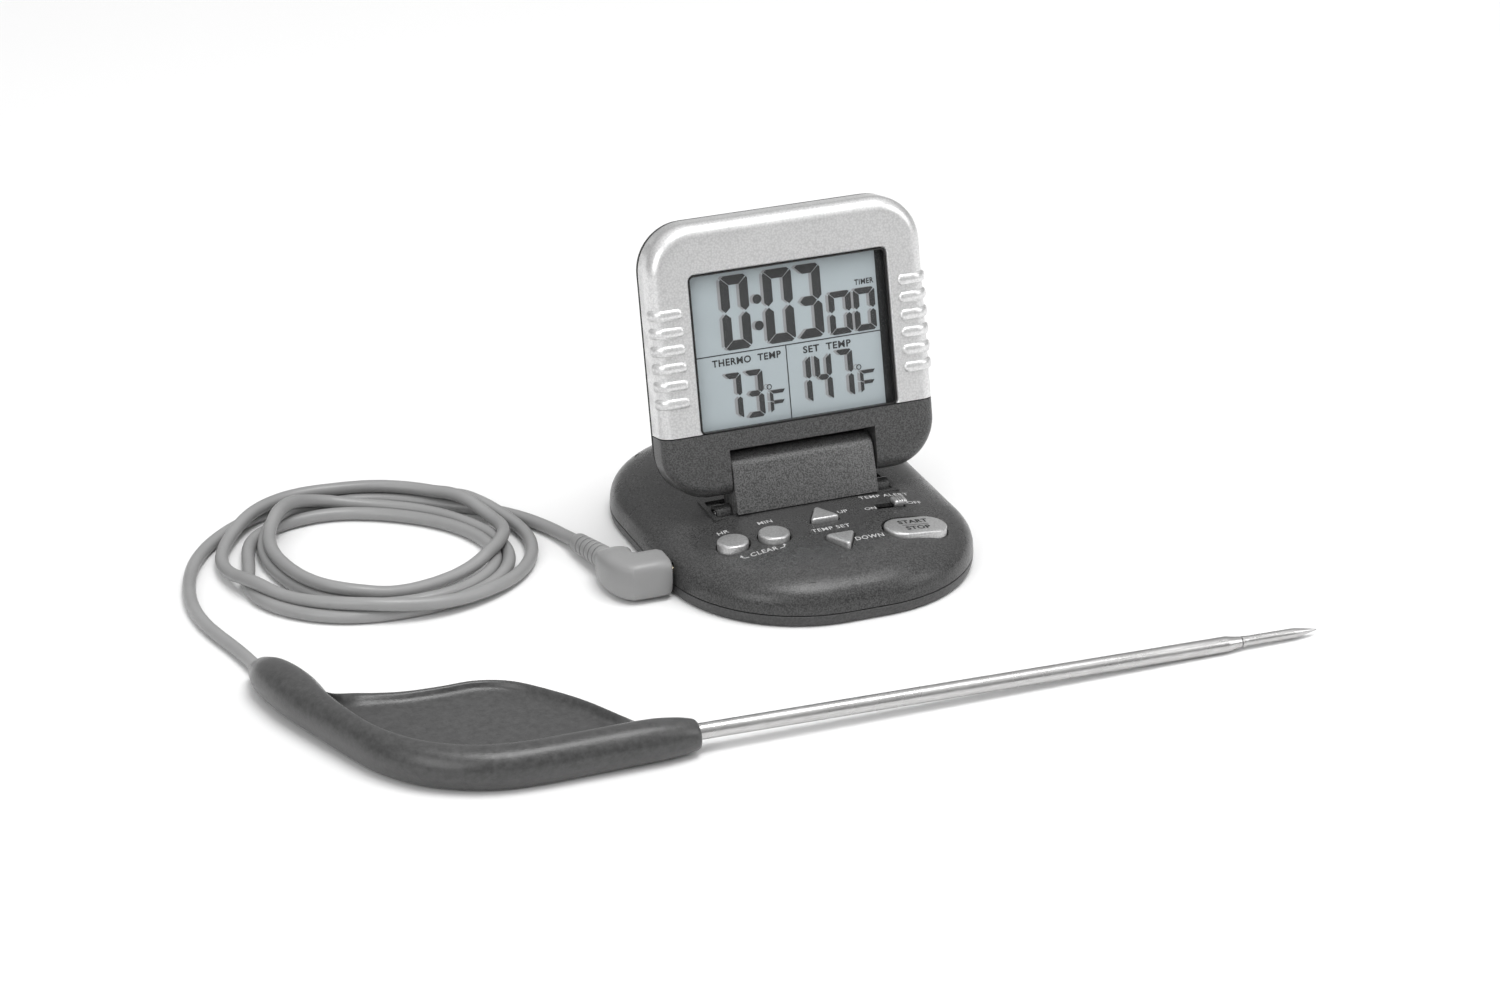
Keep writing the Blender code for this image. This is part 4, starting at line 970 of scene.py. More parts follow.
def make_switch():
    rings = []
    for half_x, half_y, z in SWITCH_RINGS:
        rings.append(raised(rounded_rectangle(half_x, half_y, 0.45, SWITCH, 6), z))
    knob = piece("alert_knob", loft(rings), key_paint, "alert_switch",
                 ["alert_switch_knob"])
    grooves = []
    for x in (-0.6, 0.0, 0.6):
        grooves.append(box((SWITCH[0] + x - 0.14, SWITCH[1] - 3.0, 14.68),
                           (SWITCH[0] + x + 0.14, SWITCH[1] + 3.0, 17.0)))
    carve(knob, cut(*grooves))


# --- hinge -----------------------------------------------------------------------------------

UPPER_PIVOT = head_place(0.0, -10.9, 5.3)[1:]
UPPER_BARREL = 5.0
LOWER_BARREL = 2.9
LEAF_FOOT = (-12.2, 14.05)
LEAF_HALF_X = 18.2


def leaf_outline(inset=0.0):
    """The link's side view, drawn in by an inset."""
    upper_radius = UPPER_BARREL - inset
    lower_radius = LOWER_BARREL - inset
    front = head_place(0.0, -8.9, 0.72)[1:]
    lean = Vector((UPPER_PIVOT[0] - LOWER_PIVOT[0], UPPER_PIVOT[1] - LOWER_PIVOT[1]))
    spread = asin((UPPER_BARREL - LOWER_BARREL) / lean.length)
    back_angle = (atan2(lean.y, lean.x) - pi / 2 - spread) * 180 / pi
    front_angle = atan2(front[1] - UPPER_PIVOT[1], front[0] - UPPER_PIVOT[0]) * 180 / pi
    upper = arc(UPPER_PIVOT, upper_radius, front_angle, back_angle, 30)
    sole_angle = 180 - asin((LEAF_FOOT[1] - LOWER_PIVOT[1]) / LOWER_BARREL) * 180 / pi
    lower = arc(LOWER_PIVOT, lower_radius, back_angle, sole_angle - 360, 20)
    foot = (LEAF_FOOT[0] + 1.1 * inset, LEAF_FOOT[1] + 0.6 * inset)
    return [foot] + upper + lower


def make_hinge():
    rings = []
    for side in (-1, 1):
        stops = ((0.0, 0.35), (0.1, 0.12), (0.35, 0.0))
        for back, inset in stops if side < 0 else reversed(stops):
            rings.append([(side * (LEAF_HALF_X - back), y, z) for y, z in leaf_outline(inset)])
    leaf = piece("hinge_link", loft(rings), leaf_plastic, "leaf", ["hinge_leaf"],
                 angle=24.0)
    bores = [along_x(circle(PIN_BORE, 24, pivot), -30.0, 30.0) for pivot in (LOWER_PIVOT, UPPER_PIVOT)]
    carve(leaf, cut(*bores), angle=24.0)


# --- head ------------------------------------------------------------------------------------

HEAD_HALF_X = 34.9
HEAD_LOW = -15.5
HEAD_HIGH = 50.5
HEAD_CORNER = 11.5
FRONT_DEPTH = 8.0
HEAD_DEPTH = 12.0
FRONT_ROUND = 3.4
REAR_ROUND = 3.6
WINDOW_HALF_X = 25.3
WINDOW_HIGH = 38.5
NOTCH_HALF_X = 18.7
NOTCH_TOP = -5.4
NOTCH_LIP = -4.3
NOTCH_LIP_DEPTH = 4.3
REAR_NOTCH_TOP = -6.55
HEAD_SCREWS = ((-30.3, 5.0), (30.3, 5.0), (-30.3, 44.0), (30.3, 44.0))
# The grip ribs: half their width, their height, the length of a round end, and where they turn
# over the head's edge.
RIB_HALF = 1.3
RIB_RISE = 0.75
RIB_END = 1.25
RIB_BEND = 31.5
# Past every part of the head.
FAR = 90.0


def head_ring(inset, depth):
    centre = (0.0, (HEAD_LOW + HEAD_HIGH) / 2)
    half_h = (HEAD_HIGH - HEAD_LOW) / 2
    outline = rounded_rectangle(HEAD_HALF_X - inset, half_h - inset, HEAD_CORNER - inset, centre,
                                16, 12, 12)
    return raised(outline, depth)


def rounded_edge(radius, steps=12):
    turns = [radians(90 * step / steps) for step in range(steps + 1)]
    return [(radius * (1 - cos(turn)), radius * (1 - sin(turn))) for turn in turns]


def front_rings():
    rings = [head_ring(0.12, FRONT_DEPTH), head_ring(0.0, FRONT_DEPTH - 0.12)]
    rings += [head_ring(inset, depth) for inset, depth in rounded_edge(FRONT_ROUND)]
    rings += [head_ring(FRONT_ROUND + 1.2, 0.0)]
    return rings


def head_box(low, high):
    return in_head(box(low, high))


def head_hole(outline, stops):
    """A hole through the head's face: the outline grown by an amount at each depth."""
    return in_head(loft([raised(outline(grow), depth) for grow, depth in stops]))


def window(grow):
    middle = WINDOW_HIGH / 2
    return rounded_rectangle(WINDOW_HALF_X + grow, middle + grow, 1.5 + grow, (0.0, middle), 8)


def at_head_screws(radius, steps, low, high):
    """A round solid at each of the head's screws, between two depths."""
    return [in_head(along_z(circle(radius, steps, place), low, high)) for place in HEAD_SCREWS]


def pin_sockets():
    """The holes in the head that take the upper pin's ends."""
    bore = circle(PIN_BORE, 20, UPPER_PIVOT)
    return [along_x(bore, side * (NOTCH_HALF_X - 0.5), side * 24.3) for side in (-1, 1)]


def rib_solid(side, h):
    """A grip rib: a half-round bead with round ends, that runs along the face and over its edge."""
    path = [(28.6 + 0.5 * step, 0.0) for step in range(6)]
    for step in range(9):
        turn = radians(9 * step)
        path.append((RIB_BEND + FRONT_ROUND * sin(turn), FRONT_ROUND - FRONT_ROUND * cos(turn)))
    walked = [0.0]
    for a, b in zip(path, path[1:]):
        walked.append(walked[-1] + Vector((b[0] - a[0], b[1] - a[1])).length)
    start, total = -RIB_END, walked[-1] + RIB_END
    rings = []
    stops = [start + 0.02, start + 0.1, start + 0.25, start + 0.5, start + 0.85] + walked
    stops += [walked[-1] + extra for extra in (0.4, 0.75, 1.0, 1.15, 1.23)]
    for along in stops:
        end = min(along - start, total - along) / RIB_END
        share = (1 - (1 - min(end, 1.0)) ** 2) ** 0.5
        inside = min(max(along, 0.0), walked[-1])
        x = float(np.interp(inside, walked, [p[0] for p in path]))
        d = float(np.interp(inside, walked, [p[1] for p in path]))
        tilt = asin(max(0.0, min((x - RIB_BEND) / FRONT_ROUND, 1.0)))
        outward = (sin(tilt), -cos(tilt))
        x += cos(tilt) * (along - inside)
        d += sin(tilt) * (along - inside)
        ring = []
        for step in range(11):
            turn = radians(180 * step / 10)
            rise = RIB_RISE * share * sin(turn) ** 0.8 - 0.02
            ring.append((x + outward[0] * rise, h + RIB_HALF * share * cos(turn),
                         d + outward[1] * rise))
        for reach in (-1.0, 1.0):
            ring.append((x - outward[0] * 0.5, h + reach * RIB_HALF * share, d - outward[1] * 0.5))
        rings.append([(side * px, ph, pd) for px, ph, pd in ring])
    return in_head(loft(rings))


def make_bezel():
    steps = ((5.0, 1.8), (3.0, 2.6), (1.8, 4.2), (1.8, FRONT_DEPTH))
    inside = [head_ring(inset, depth) for inset, depth in steps]
    bezel = piece("silver_frame", in_head(loft(inside + front_rings())), silver_paint, "head",
                  ["head_bezel"])
    below = head_box((-FAR, -FAR, -FAR), (FAR, 0.4, FAR))
    sight = head_hole(window, ((0.35, -5.0), (0.35, -0.02), (0.1, 0.2), (0.0, 0.5), (0.0, 4.0)))
    carve(bezel, join(*at_head_screws(BOSS_RADIUS, 24, 1.4, 7.8)), cut(below),
          cut(sight, *at_head_screws(SCREW_BORE, 16, 3.0, 20.0)))
    borrow_shading(bezel, in_head(loft(front_rings(), caps=(False, True))))
    ribs = [rib_solid(side, 8.7 + 4.25 * row) for row in range(6) for side in (-1, 1)]
    piece("grip_ribs", together(ribs), silver_paint, "head", angle=60.0)


def chin_notch():
    side = ((-FAR, -5.0), (NOTCH_LIP, -5.0), (NOTCH_LIP, NOTCH_LIP_DEPTH), (NOTCH_TOP, NOTCH_LIP_DEPTH),
            (NOTCH_TOP, 30.0), (-FAR, 30.0))
    return in_head(loft([[(x, h, d) for h, d in side] for x in (-NOTCH_HALF_X, NOTCH_HALF_X)]))


def make_chin():
    chin = piece("dark_chin", in_head(loft(front_rings())), chin_plastic, "head",
                 ["head_chin"])
    above = head_box((-FAR, 0.1, -FAR), (FAR, FAR, FAR))
    ledge = head_box((-28.5, -2.4, 1.9), (28.5, 5.0, FAR))
    carve(chin, cut(above), cut(ledge), cut(chin_notch()), cut(*pin_sockets()))
    borrow_shading(chin, in_head(loft(front_rings(), caps=(False, True))))


def rear_rings():
    rings = [head_ring(0.12, FRONT_DEPTH + 0.3), head_ring(0.0, FRONT_DEPTH + 0.35)]
    for inset, depth in rounded_edge(REAR_ROUND):
        if HEAD_DEPTH - depth > FRONT_DEPTH + 0.4:
            rings.append(head_ring(inset, HEAD_DEPTH - depth))
    rings.append(head_ring(REAR_ROUND + 1.2, HEAD_DEPTH))
    return rings


def make_rear():
    rear = piece("rear_shell", in_head(loft(rear_rings())), rear_painted_shade_plastic, "head",
                 ["head_rear_shell"])
    tray = head_box((-27.9, 1.5, 0.0), (27.9, 47.5, 10.8))
    notch = head_box((-NOTCH_HALF_X, -FAR, -5.0), (NOTCH_HALF_X, REAR_NOTCH_TOP, FAR))
    vents = []
    for x in np.arange(-7.5, 8.0, 2.5):
        slit = rounded_rectangle(0.55, 4.5, 0.55, (x, 36.0), 5)
        vents.append(in_head(along_z(slit, 10.0, 20.0)))

    def panel_line(grow):
        return rounded_rectangle(24.0 + grow, 9.0 + grow, 2.0 + grow, (0.0, 16.0), 8)

    carve(rear, cut(tray), cut(notch), cut(*at_head_screws(BOSS_RADIUS, 28, 10.6, 20.0)),
          cut(*at_head_screws(SCREW_BORE, 16, 2.0, 22.0)), cut(*pin_sockets()),
          cut(head_hole(panel_line, ((0.0, 11.75), (0.3, 13.0)))), cut(*vents))
    borrow_shading(rear, in_head(loft(rear_rings(), caps=(False, True))))


# --- display ---------------------------------------------------------------------------------

GLASS_DEPTH = 2.6
GLASS_LEFT = -25.3
GLASS_WIDE = 47.4
GLASS_TOP = 38.5
GLASS_HIGH = 37.6
SIGHT_X = 0.96
SIGHT_H = -0.62
BAR_HALF = 0.13
# The liner's section, as (outward from the liner's edge, depth) pairs.
LINER_INSET = 0.42
LINER_PROFILE = ((-0.12, 0.5), (-0.12, 1.9), (0.15, 2.0), (0.15, 3.9), (1.7, 3.9), (1.7, 2.15),
                 (0.3, 2.15), (0.3, 0.65), (0.12, 0.42))
# Each character: its left, top, right and bottom on the glass, and its stroke.
TIME_DIGITS = (("0", 0.160, 0.030, 0.310, 0.505, 2.25), ("0", 0.390, 0.030, 0.545, 0.505, 2.25),
               ("3", 0.555, 0.030, 0.700, 0.505, 2.25), ("0", 0.733, 0.235, 0.855, 0.512, 1.5),
               ("0", 0.868, 0.235, 0.986, 0.512, 1.5))
TEMPERATURE_DIGITS = (("7", 0.140, 0.650, 0.232, 0.955, 1.35), ("3", 0.250, 0.650, 0.348, 0.955, 1.35),
                      ("1", 0.545, 0.610, 0.610, 0.925, 1.35), ("4", 0.630, 0.610, 0.722, 0.925, 1.35),
                      ("7", 0.745, 0.610, 0.838, 0.925, 1.35))


def on_glass(u, v):
    """A point of the display from its shares across and down the visible glass."""
    return (GLASS_LEFT + GLASS_WIDE * u + SIGHT_X, GLASS_TOP - GLASS_HIGH * v + SIGHT_H)


SEGMENTS = {"0": "abcdef", "1": "bc", "3": "abcdg", "4": "bcfg", "7": "abc"}


def segment_shapes(left, low, wide, high, stroke):
    """The seven polygons of one character, with cut outer corners and thin gaps."""
    gap = 0.13
    bevel = 0.42 * stroke
    half = high / 2
    right, top = left + wide, low + high
    shapes = {}
    for name, edge, inward in (("a", top, -1), ("d", low, 1)):
        shapes[name] = [(left + bevel + gap, edge), (right - bevel - gap, edge),
                        (right - 0.35 * bevel - gap, edge + inward * 0.5 * bevel),
                        (right - stroke - gap * 0.4, edge + inward * stroke),
                        (left + stroke + gap * 0.4, edge + inward * stroke),
                        (left + 0.35 * bevel + gap, edge + inward * 0.5 * bevel)]
    middle = low + half
    shapes["g"] = [(left + 0.5 * stroke + gap, middle), (left + stroke + gap, middle + 0.5 * stroke),
                   (right - stroke - gap, middle + 0.5 * stroke), (right - 0.5 * stroke - gap, middle),
                   (right - stroke - gap, middle - 0.5 * stroke),
                   (left + stroke + gap, middle - 0.5 * stroke)]
    for name, other, edge, inward in (("f", "e", left, 1), ("b", "c", right, -1)):
        shapes[name] = [(edge, top - bevel - gap), (edge, middle + 0.5 * stroke),
                        (edge + inward * 0.45 * stroke, middle + gap),
                        (edge + inward * stroke, middle + 0.55 * stroke),
                        (edge + inward * stroke, top - stroke - gap),
                        (edge + inward * 0.3 * bevel, top - 0.55 * bevel - gap)]
        shapes[other] = [(x, 2 * middle - y) for x, y in shapes[name]]
    return shapes


def digit(text, u0, v0, u1, v1, stroke):
    left, low = on_glass(u0, v1)
    right, top = on_glass(u1, v0)
    shapes = segment_shapes(left, low, right - left, top - low, stroke)
    return [shapes[name] for name in SEGMENTS[text]]


def bar(u0, v0, u1, v1):
    """A thin rule between two points of the glass, the upper left one first."""
    left, top = on_glass(u0, v0)
    right, low = on_glass(u1, v1)
    left, low, right, top = left - BAR_HALF, low - BAR_HALF, right + BAR_HALF, top + BAR_HALF
    return [(left, low), (right, low), (right, top), (left, top)]


def ring_shapes(u, v, outer=0.68, inner=0.46, steps=16):
    """A small ring: the degree sign."""
    x, h = on_glass(u, v)
    shapes = []
    for step in range(steps):
        a, b = (2 * pi * s / steps for s in (step, step + 1))
        corners = ((inner, a), (outer, a), (outer, b), (inner, b))
        shapes.append([(x + r * cos(t), h + r * sin(t)) for r, t in corners])
    return shapes


def letter_f(u0, v0, u1, v1, stroke=0.85):
    """The unit letter, drawn as slim strokes."""
    left, low = on_glass(u0, v1)
    right, top = on_glass(u1, v0)
    middle = 0.5 * (low + top)
    inner = left + stroke
    return [[(left, low + 0.5), (inner, low + 1.1), (inner, middle - 0.1), (left, middle + 0.25)],
            [(left, middle + 0.5), (inner, middle + 0.15), (inner, top - stroke - 0.1),
             (left, top - 0.3)],
            [(left + 0.15, top), (right, top), (right - 0.6, top - stroke),
             (inner + 0.1, top - stroke)],
            [(inner + 0.1, middle + 0.45 * stroke), (right - 0.3, middle + 0.45 * stroke),
             (right - 0.9, middle - 0.55 * stroke), (inner + 0.1, middle - 0.55 * stroke)]]


def flat_piece(name, shapes, depth, look, shift=(0.0, 0.0)):
    """Thin flat shapes on the display: print, a black border and the segments' painted shadow."""
    points = []
    faces = []
    for shape in shapes:
        start = len(points)
        points += [head_place(x + shift[0], h + shift[1], depth) for x, h in shape]
        faces.append(tuple(range(start, start + len(shape))))
    made = piece(name, (points, faces), look, "head", outwards=False)
    face_front(made.data, Vector((0.0, -cos(HEAD_TILT), sin(HEAD_TILT))))
    return made


def face_front(mesh, direction):
    work = bmesh.new()
    work.from_mesh(mesh)
    turned_away = [face for face in work.faces if face.normal.dot(direction) < 0]
    bmesh.ops.reverse_faces(work, faces=turned_away)
    work.to_mesh(mesh)
    work.free()


def lettering(text, size, bold=0.0, spacing=1.0):
    """The triangles of a line of text, centred on the origin, in millimetres."""
    curve = bpy.data.curves.new("lettering", "FONT")
    curve.body = text
    curve.size = size
    curve.align_x = "CENTER"
    curve.align_y = "CENTER"
    curve.offset = bold
    curve.space_character = spacing
    curve.resolution_u = 4
    made = bpy.data.objects.new("lettering", curve)
    bpy.context.scene.collection.objects.link(made)
    bpy.context.view_layer.update()
    mesh = bpy.data.meshes.new_from_object(made.evaluated_get(bpy.context.evaluated_depsgraph_get()))
    points = [v.co.copy() for v in mesh.vertices]
    faces = [tuple(p.vertices) for p in mesh.polygons]
    bpy.data.objects.remove(made, do_unlink=True)
    bpy.data.meshes.remove(mesh)
    return points, faces


def glass_text(text, u0, u1, v, high):
    """Text across a span of the glass, as shapes."""
    points, faces = lettering(text, 1.0, 0.028, 1.12)
    wide = max(p.x for p in points) - min(p.x for p in points)
    tall = max(p.y for p in points) - min(p.y for p in points)
    x0, h = on_glass(u0, v)
    x1 = on_glass(u1, v)[0]
    middle = 0.5 * (x0 + x1)
    across = (x1 - x0) / wide
    up = high / tall
    return [[(middle + points[i].x * across, h + points[i].y * up) for i in face] for face in faces]


def make_display():
    liner = [raised(window(grow - LINER_INSET), depth) for grow, depth in LINER_PROFILE]
    piece("display_surround", in_head(loft(liner, closed=True)), black_plastic, "head",
          ["display_liner"])
    outline = rounded_rectangle(26.2, 19.6, 0.4, (0.0, 18.9), 3)
    piece("display_glass_panel", in_head(along_z(outline, GLASS_DEPTH, 6.4)), panel_glass, "head",
          ["display_panel"])
    edge = GLASS_LEFT + GLASS_WIDE + SIGHT_X
    low = GLASS_TOP - GLASS_HIGH + SIGHT_H
    borders = [[(edge, -1.0), (26.2, -1.0), (26.2, 38.6), (edge, 38.6)],
               [(-26.2, -1.0), (edge, -1.0), (edge, low), (-26.2, low)]]
    flat_piece("display_border", borders, GLASS_DEPTH - 0.02, black_plastic)
    edges = ((-0.8, 1.1), (-0.62, 1.25), (-0.62, 1.75))
    lens = [raised(window(grow), depth) for grow, depth in edges]
    piece("display_window", in_head(loft(lens)), lens_clear, "head", ["display_lens"])

    ink_and_shadow_shapes = []
    for row in TIME_DIGITS:
        ink_and_shadow_shapes += digit(*row)
    for v in (0.205, 0.375):
        ink_and_shadow_shapes.append(circle(1.15, 20, on_glass(0.353, v)))
    for row in TEMPERATURE_DIGITS:
        ink_and_shadow_shapes += digit(*row)
    ink_and_shadow_shapes += ring_shapes(0.378, 0.775)
    ink_and_shadow_shapes += ring_shapes(0.868, 0.740)
    ink_and_shadow_shapes += letter_f(0.378, 0.800, 0.462, 0.955)
    ink_and_shadow_shapes += letter_f(0.872, 0.765, 0.955, 0.920)
    flat_piece("display_segments", ink_and_shadow_shapes, GLASS_DEPTH - 0.07, segment_ink)
    # The segments' painted shadow: the same marks in a paler grey, shifted left and a little up on the
    # glass.
    flat_piece("display_segment_shadows", ink_and_shadow_shapes, GLASS_DEPTH - 0.03, painted_segment_shadow, shift=(-0.75, 0.12))
    print_shapes = [bar(0.0, 0.525, 1.0, 0.525), bar(0.485, 0.525, 0.485, 1.0)]
    print_shapes += glass_text("TIMER", 0.880, 0.985, 0.197, 1.35)
    print_shapes += glass_text("THERMO  TEMP", 0.085, 0.455, 0.578, 1.75)
    print_shapes += glass_text("SET  TEMP", 0.575, 0.835, 0.577, 1.75)
    flat_piece("display_print", print_shapes, GLASS_DEPTH - 0.05, panel_ink)


# --- labels on the base ----------------------------------------------------------------------

CLEAR_X = -18.9
LABELS = (("hours", "HR", (-24.2, -17.4), 1.05), ("minutes", "MIN", (-13.5, -17.5), 1.05),
          ("clear", "CLEAR", (CLEAR_X, -30.3), 1.15), ("up", "UP", (5.8, -19.0), 1.05),
          ("set", "TEMP SET", (-0.2, -26.2), 1.12), ("down", "DOWN", (6.9, -32.9), 1.12),
          ("alert", "TEMP ALERT", (18.8, -13.6), 1.12))


def printed(name, solid, look, body):
    """A piece of flat print that faces up."""
    made = piece(name, solid, look, body, outwards=False)
    face_front(made.data, Vector((0.0, 0.0, 1.0)))


def on_skin(x, y):
    """The height of print on the base's skin."""
    return crown_at(x, y) + 0.035


def on_start_key(x, y):
    """The height of print on the start/stop key, which slopes across."""
    middle, _, top = KEY_PLACES["start_stop_button"]
    return top + 0.03 + KEY_SLOPE["start_stop_button"] * (x - middle)


def label(name, text, place, high=1.5, spacing=1.05, bold=0.010, look=label_ink, height=on_skin,
          body="base"):
    """Flat printed text that lies on the base's skin, or at a height of its own."""
    points, faces = lettering(text, 1.0, bold, spacing)
    scale = high / 0.72
    laid = []
    for point in points:
        x = place[0] + scale * point.x
        y = place[1] + scale * point.y
        laid.append((x, y, height(x, y)))
    printed(name, (laid, faces), look, body)


def bent_arrow(side):
    """The small arrow beside a label: a shaft that bends up towards its key, with a head."""
    bend = ((3.9, -30.7), (4.8, -30.6), (5.3, -30.2), (5.4, -29.7))
    shaft = [(CLEAR_X + side * x, y) for x, y in bend]
    shapes = []
    for (x0, y0), (x1, y1) in zip(shaft, shaft[1:]):
        along = Vector((x1 - x0, y1 - y0)).normalized()
        x, y = Vector((-along.y, along.x)) * 0.11
        shapes.append([(x0 - x, y0 - y), (x1 - x, y1 - y), (x1 + x, y1 + y), (x0 + x, y0 + y)])
    x, y = shaft[-1]
    shapes.append([(x - 0.42, y - 0.1), (x + 0.42, y - 0.1), (x, y + 0.6)])
    return together([([(px, py, on_skin(px, py)) for px, py in shape], [tuple(range(len(shape)))])
                     for shape in shapes])


def make_labels():
    for name, text, place, spacing in LABELS:
        label("label_" + name, text, place, spacing=spacing)
    label("label_on", "ON", (12.8, -19.7), 1.35)
    label("label_off", "OFF", (24.6, -18.6))
    printed("label_arrows", together([bent_arrow(-1), bent_arrow(1)]), label_ink, "base")
    key = "start_stop_button"
    x0, y0, _ = KEY_PLACES[key]
    for name, text, y in (("label_start", "START", y0 + 1.75), ("label_stop", "STOP", y0 - 1.75)):
        label(name, text, (x0, y), 1.75, 1.08, 0.035, key_ink, on_start_key, key)
    rule = [(x0 - 3.4, y0 - 0.1), (x0 + 3.4, y0 - 0.1), (x0 + 3.4, y0 + 0.1), (x0 - 3.4, y0 + 0.1)]
    printed("label_rule", ([(x, y, on_start_key(x, y)) for x, y in rule], [(0, 1, 2, 3)]), key_ink, key)


# --- lead ------------------------------------------------------------------------------------

# The plug body's rings: the outer and the inner edge at mid height, that height and half the depth.
PLUG_RINGS = (
    ((-38.5, -21.7), (-38.5, -13.9), 5.45, 3.95), ((-38.95, -22.35), (-38.95, -13.25), 5.45, 4.55),
    ((-40.1, -22.75), (-40.1, -12.85), 5.45, 4.95), ((-43.0, -22.75), (-42.4, -12.85), 5.45, 4.95),
    ((-46.2, -22.7), (-44.2, -12.9), 5.45, 4.95), ((-48.7, -22.55), (-45.0, -12.6), 5.45, 4.95),
    ((-50.6, -20.9), (-45.1, -11.9), 5.43, 4.93), ((-52.0, -18.6), (-44.9, -11.2), 5.4, 4.9),
    ((-52.9, -15.6), (-44.5, -10.5), 5.35, 4.85), ((-53.2, -12.4), (-44.3, -9.6), 5.25, 4.72),
    ((-53.1, -9.6), (-44.7, -8.3), 5.1, 4.4), ((-52.6, -7.2), (-45.4, -6.7), 4.9, 3.8),
    ((-52.0, -5.4), (-46.1, -5.3), 4.7, 3.15), ((-51.6, -4.75), (-46.4, -4.7), 4.6, 2.8),
)
RELIEF_START = (-48.95, -4.15, 4.55)
RELIEF_END = (-51.0, 9.9, 3.15)
# The power that rounds the plug body's section, from 1 for an ellipse down to 0 for a box.
PLUG_SQUARE = 0.55
# The plug's metal and its insulator, as (radius, distance) pairs.
SHANK_PROFILE = ((1.0, 0.0), (1.25, 0.25), (1.25, 6.8), (1.15, 7.0))
PLUG_RING_PROFILE = ((1.0, 0.0), (1.1, 0.1), (1.1, 0.5), (1.0, 0.6))
POINT_PROFILE = ((1.1, 0.0), (1.25, 0.15), (1.25, 0.5), (0.9, 0.85), (0.95, 1.0), (1.2, 1.3),
                 (1.05, 1.65), (0.7, 2.0), (0.35, 2.15))


def make_plug():
    rings = []
    for outer, inner, middle, half in PLUG_RINGS:
        ring = []
        for step in range(40):
            turn = 2 * pi * step / 40
            c = copysign(abs(cos(turn)) ** PLUG_SQUARE, cos(turn))
            s = copysign(abs(sin(turn)) ** PLUG_SQUARE, sin(turn))
            ring.append((0.5 * (outer[0] + inner[0]) + 0.5 * (outer[0] - inner[0]) * c,
                         0.5 * (outer[1] + inner[1]) + 0.5 * (outer[1] - inner[1]) * c,
                         middle + half * s))
        rings.append(ring)
    piece("right_angle_plug", loft(rings), cord_grey, "lead", ["plug_body"], angle=26.0)

    length = (Vector(RELIEF_END) - Vector(RELIEF_START)).length
    profile = [(2.6, 0.0), (2.8, 0.15), (2.85, 0.4)]
    for groove in range(5):
        radius = 2.85 - 0.1 * groove
        at = 1.5 + 2.25 * groove
        profile += [(radius, at), (radius - 0.08, at + 0.06), (radius - 0.8, at + 0.1),
                    (radius - 0.8, at + 0.6), (radius - 0.12, at + 0.64), (radius - 0.05, at + 0.73)]
    profile += [(2.38, length - 1.6), (2.3, length - 0.8), (2.1, length - 0.25), (1.8, length)]
    relief = turned(RELIEF_START, RELIEF_END, profile, 36)
    piece("plug_ribbed_sleeve", relief, cord_grey, "lead", ["plug_strain_relief"])

    for name, profile, start, node, look, slot in (
            ("plug_shank", SHANK_PROFILE, -38.2, "plug_sleeve", brass, "plated_brass"),
            ("plug_ring", PLUG_RING_PROFILE, -30.9, "plug_insulator", black_plastic, "black_plastic"),
            ("plug_point", POINT_PROFILE, -30.0, "plug_tip", brass, "plated_brass")):
        solid = turned((start, PLUG_Y, PLUG_Z), (start + 3.0, PLUG_Y, PLUG_Z), profile, 28)
        piece(name, solid, look, "lead", [node])


STEM_START = Vector((-58.0, -95.0, 4.9))
STEM_END = Vector((93.0, -95.0, 1.45))
# The tube's section, as (radius, distance) pairs, and the tip's taper, as distances back from its
# point.
STEM_WALL = ((1.45, 0.0), (1.9, 0.0), (1.9, 40.0), (1.9, 80.0), (1.9, 120.0), (1.9, 158.3),
             (1.86, 158.7), (1.75, 159.3), (1.6, 160.1), (1.42, 161.3), (1.3, 162.2), (0.8, 162.2),
             (0.8, 157.5), (1.45, 156.5))
TIP_BEGIN = 131.5
TIP_TAPER = ((1.2, 6.4), (1.12, 5.6), (0.92, 4.2), (0.6, 2.4), (0.3, 0.9), (0.12, 0.1), (0.03, 0.0))
HANDLE_STATIONS = (
    ((-61.0, -95.0), 3.2, (-61.0, -91.8)), ((-61.7, -95.0), 3.6, (-61.7, -91.4)),
    ((-64.0, -95.0), 4.1, (-64.0, -90.9)), ((-67.0, -95.0), 4.5, (-67.0, -90.5)),
    ((-70.5, -95.0), 4.8, (-70.3, -87.0)), ((-75.5, -95.0), 4.9, (-74.6, -83.2)),
    ((-82.5, -95.0), 4.9, (-79.8, -74.6)), ((-91.0, -95.0), 4.9, (-85.6, -66.2)),
    ((-99.5, -94.8), 4.9, (-92.0, -59.2)), ((-108.0, -93.4), 4.9, (-99.5, -56.0)),
    ((-116.0, -90.0), 4.9, (-107.5, -55.8)), ((-123.3, -84.6), 5.0, (-115.5, -55.2)),
    ((-129.2, -76.3), 5.1, (-121.5, -53.6)), ((-132.9, -66.5), 5.2, (-126.2, -51.8)),
    ((-135.5, -57.0), 5.3, (-128.8, -48.2)), ((-137.6, -48.0), 5.4, (-131.0, -45.0)),
    ((-139.2, -40.5), 5.3, (-134.0, -39.5)), ((-140.3, -34.5), 4.8, (-135.5, -34.0)),
    ((-140.5, -30.0), 3.9, (-136.6, -29.8)), ((-140.5, -27.0), 3.15, (-137.35, -26.9)),
    ((-140.45, -25.4), 2.5, (-137.95, -25.4)), ((-140.4, -24.7), 1.95, (-138.45, -24.7)))
PAD_FLOOR = 5.3
PAD_RIM = 7.4
# The pad is fully shaped where it reaches this far past the spine, and absent where it doesn't.
WIDE_AT = 9.0
# To the right of this the handle is level with the stem.
STEM_SIDE_X = -72.0


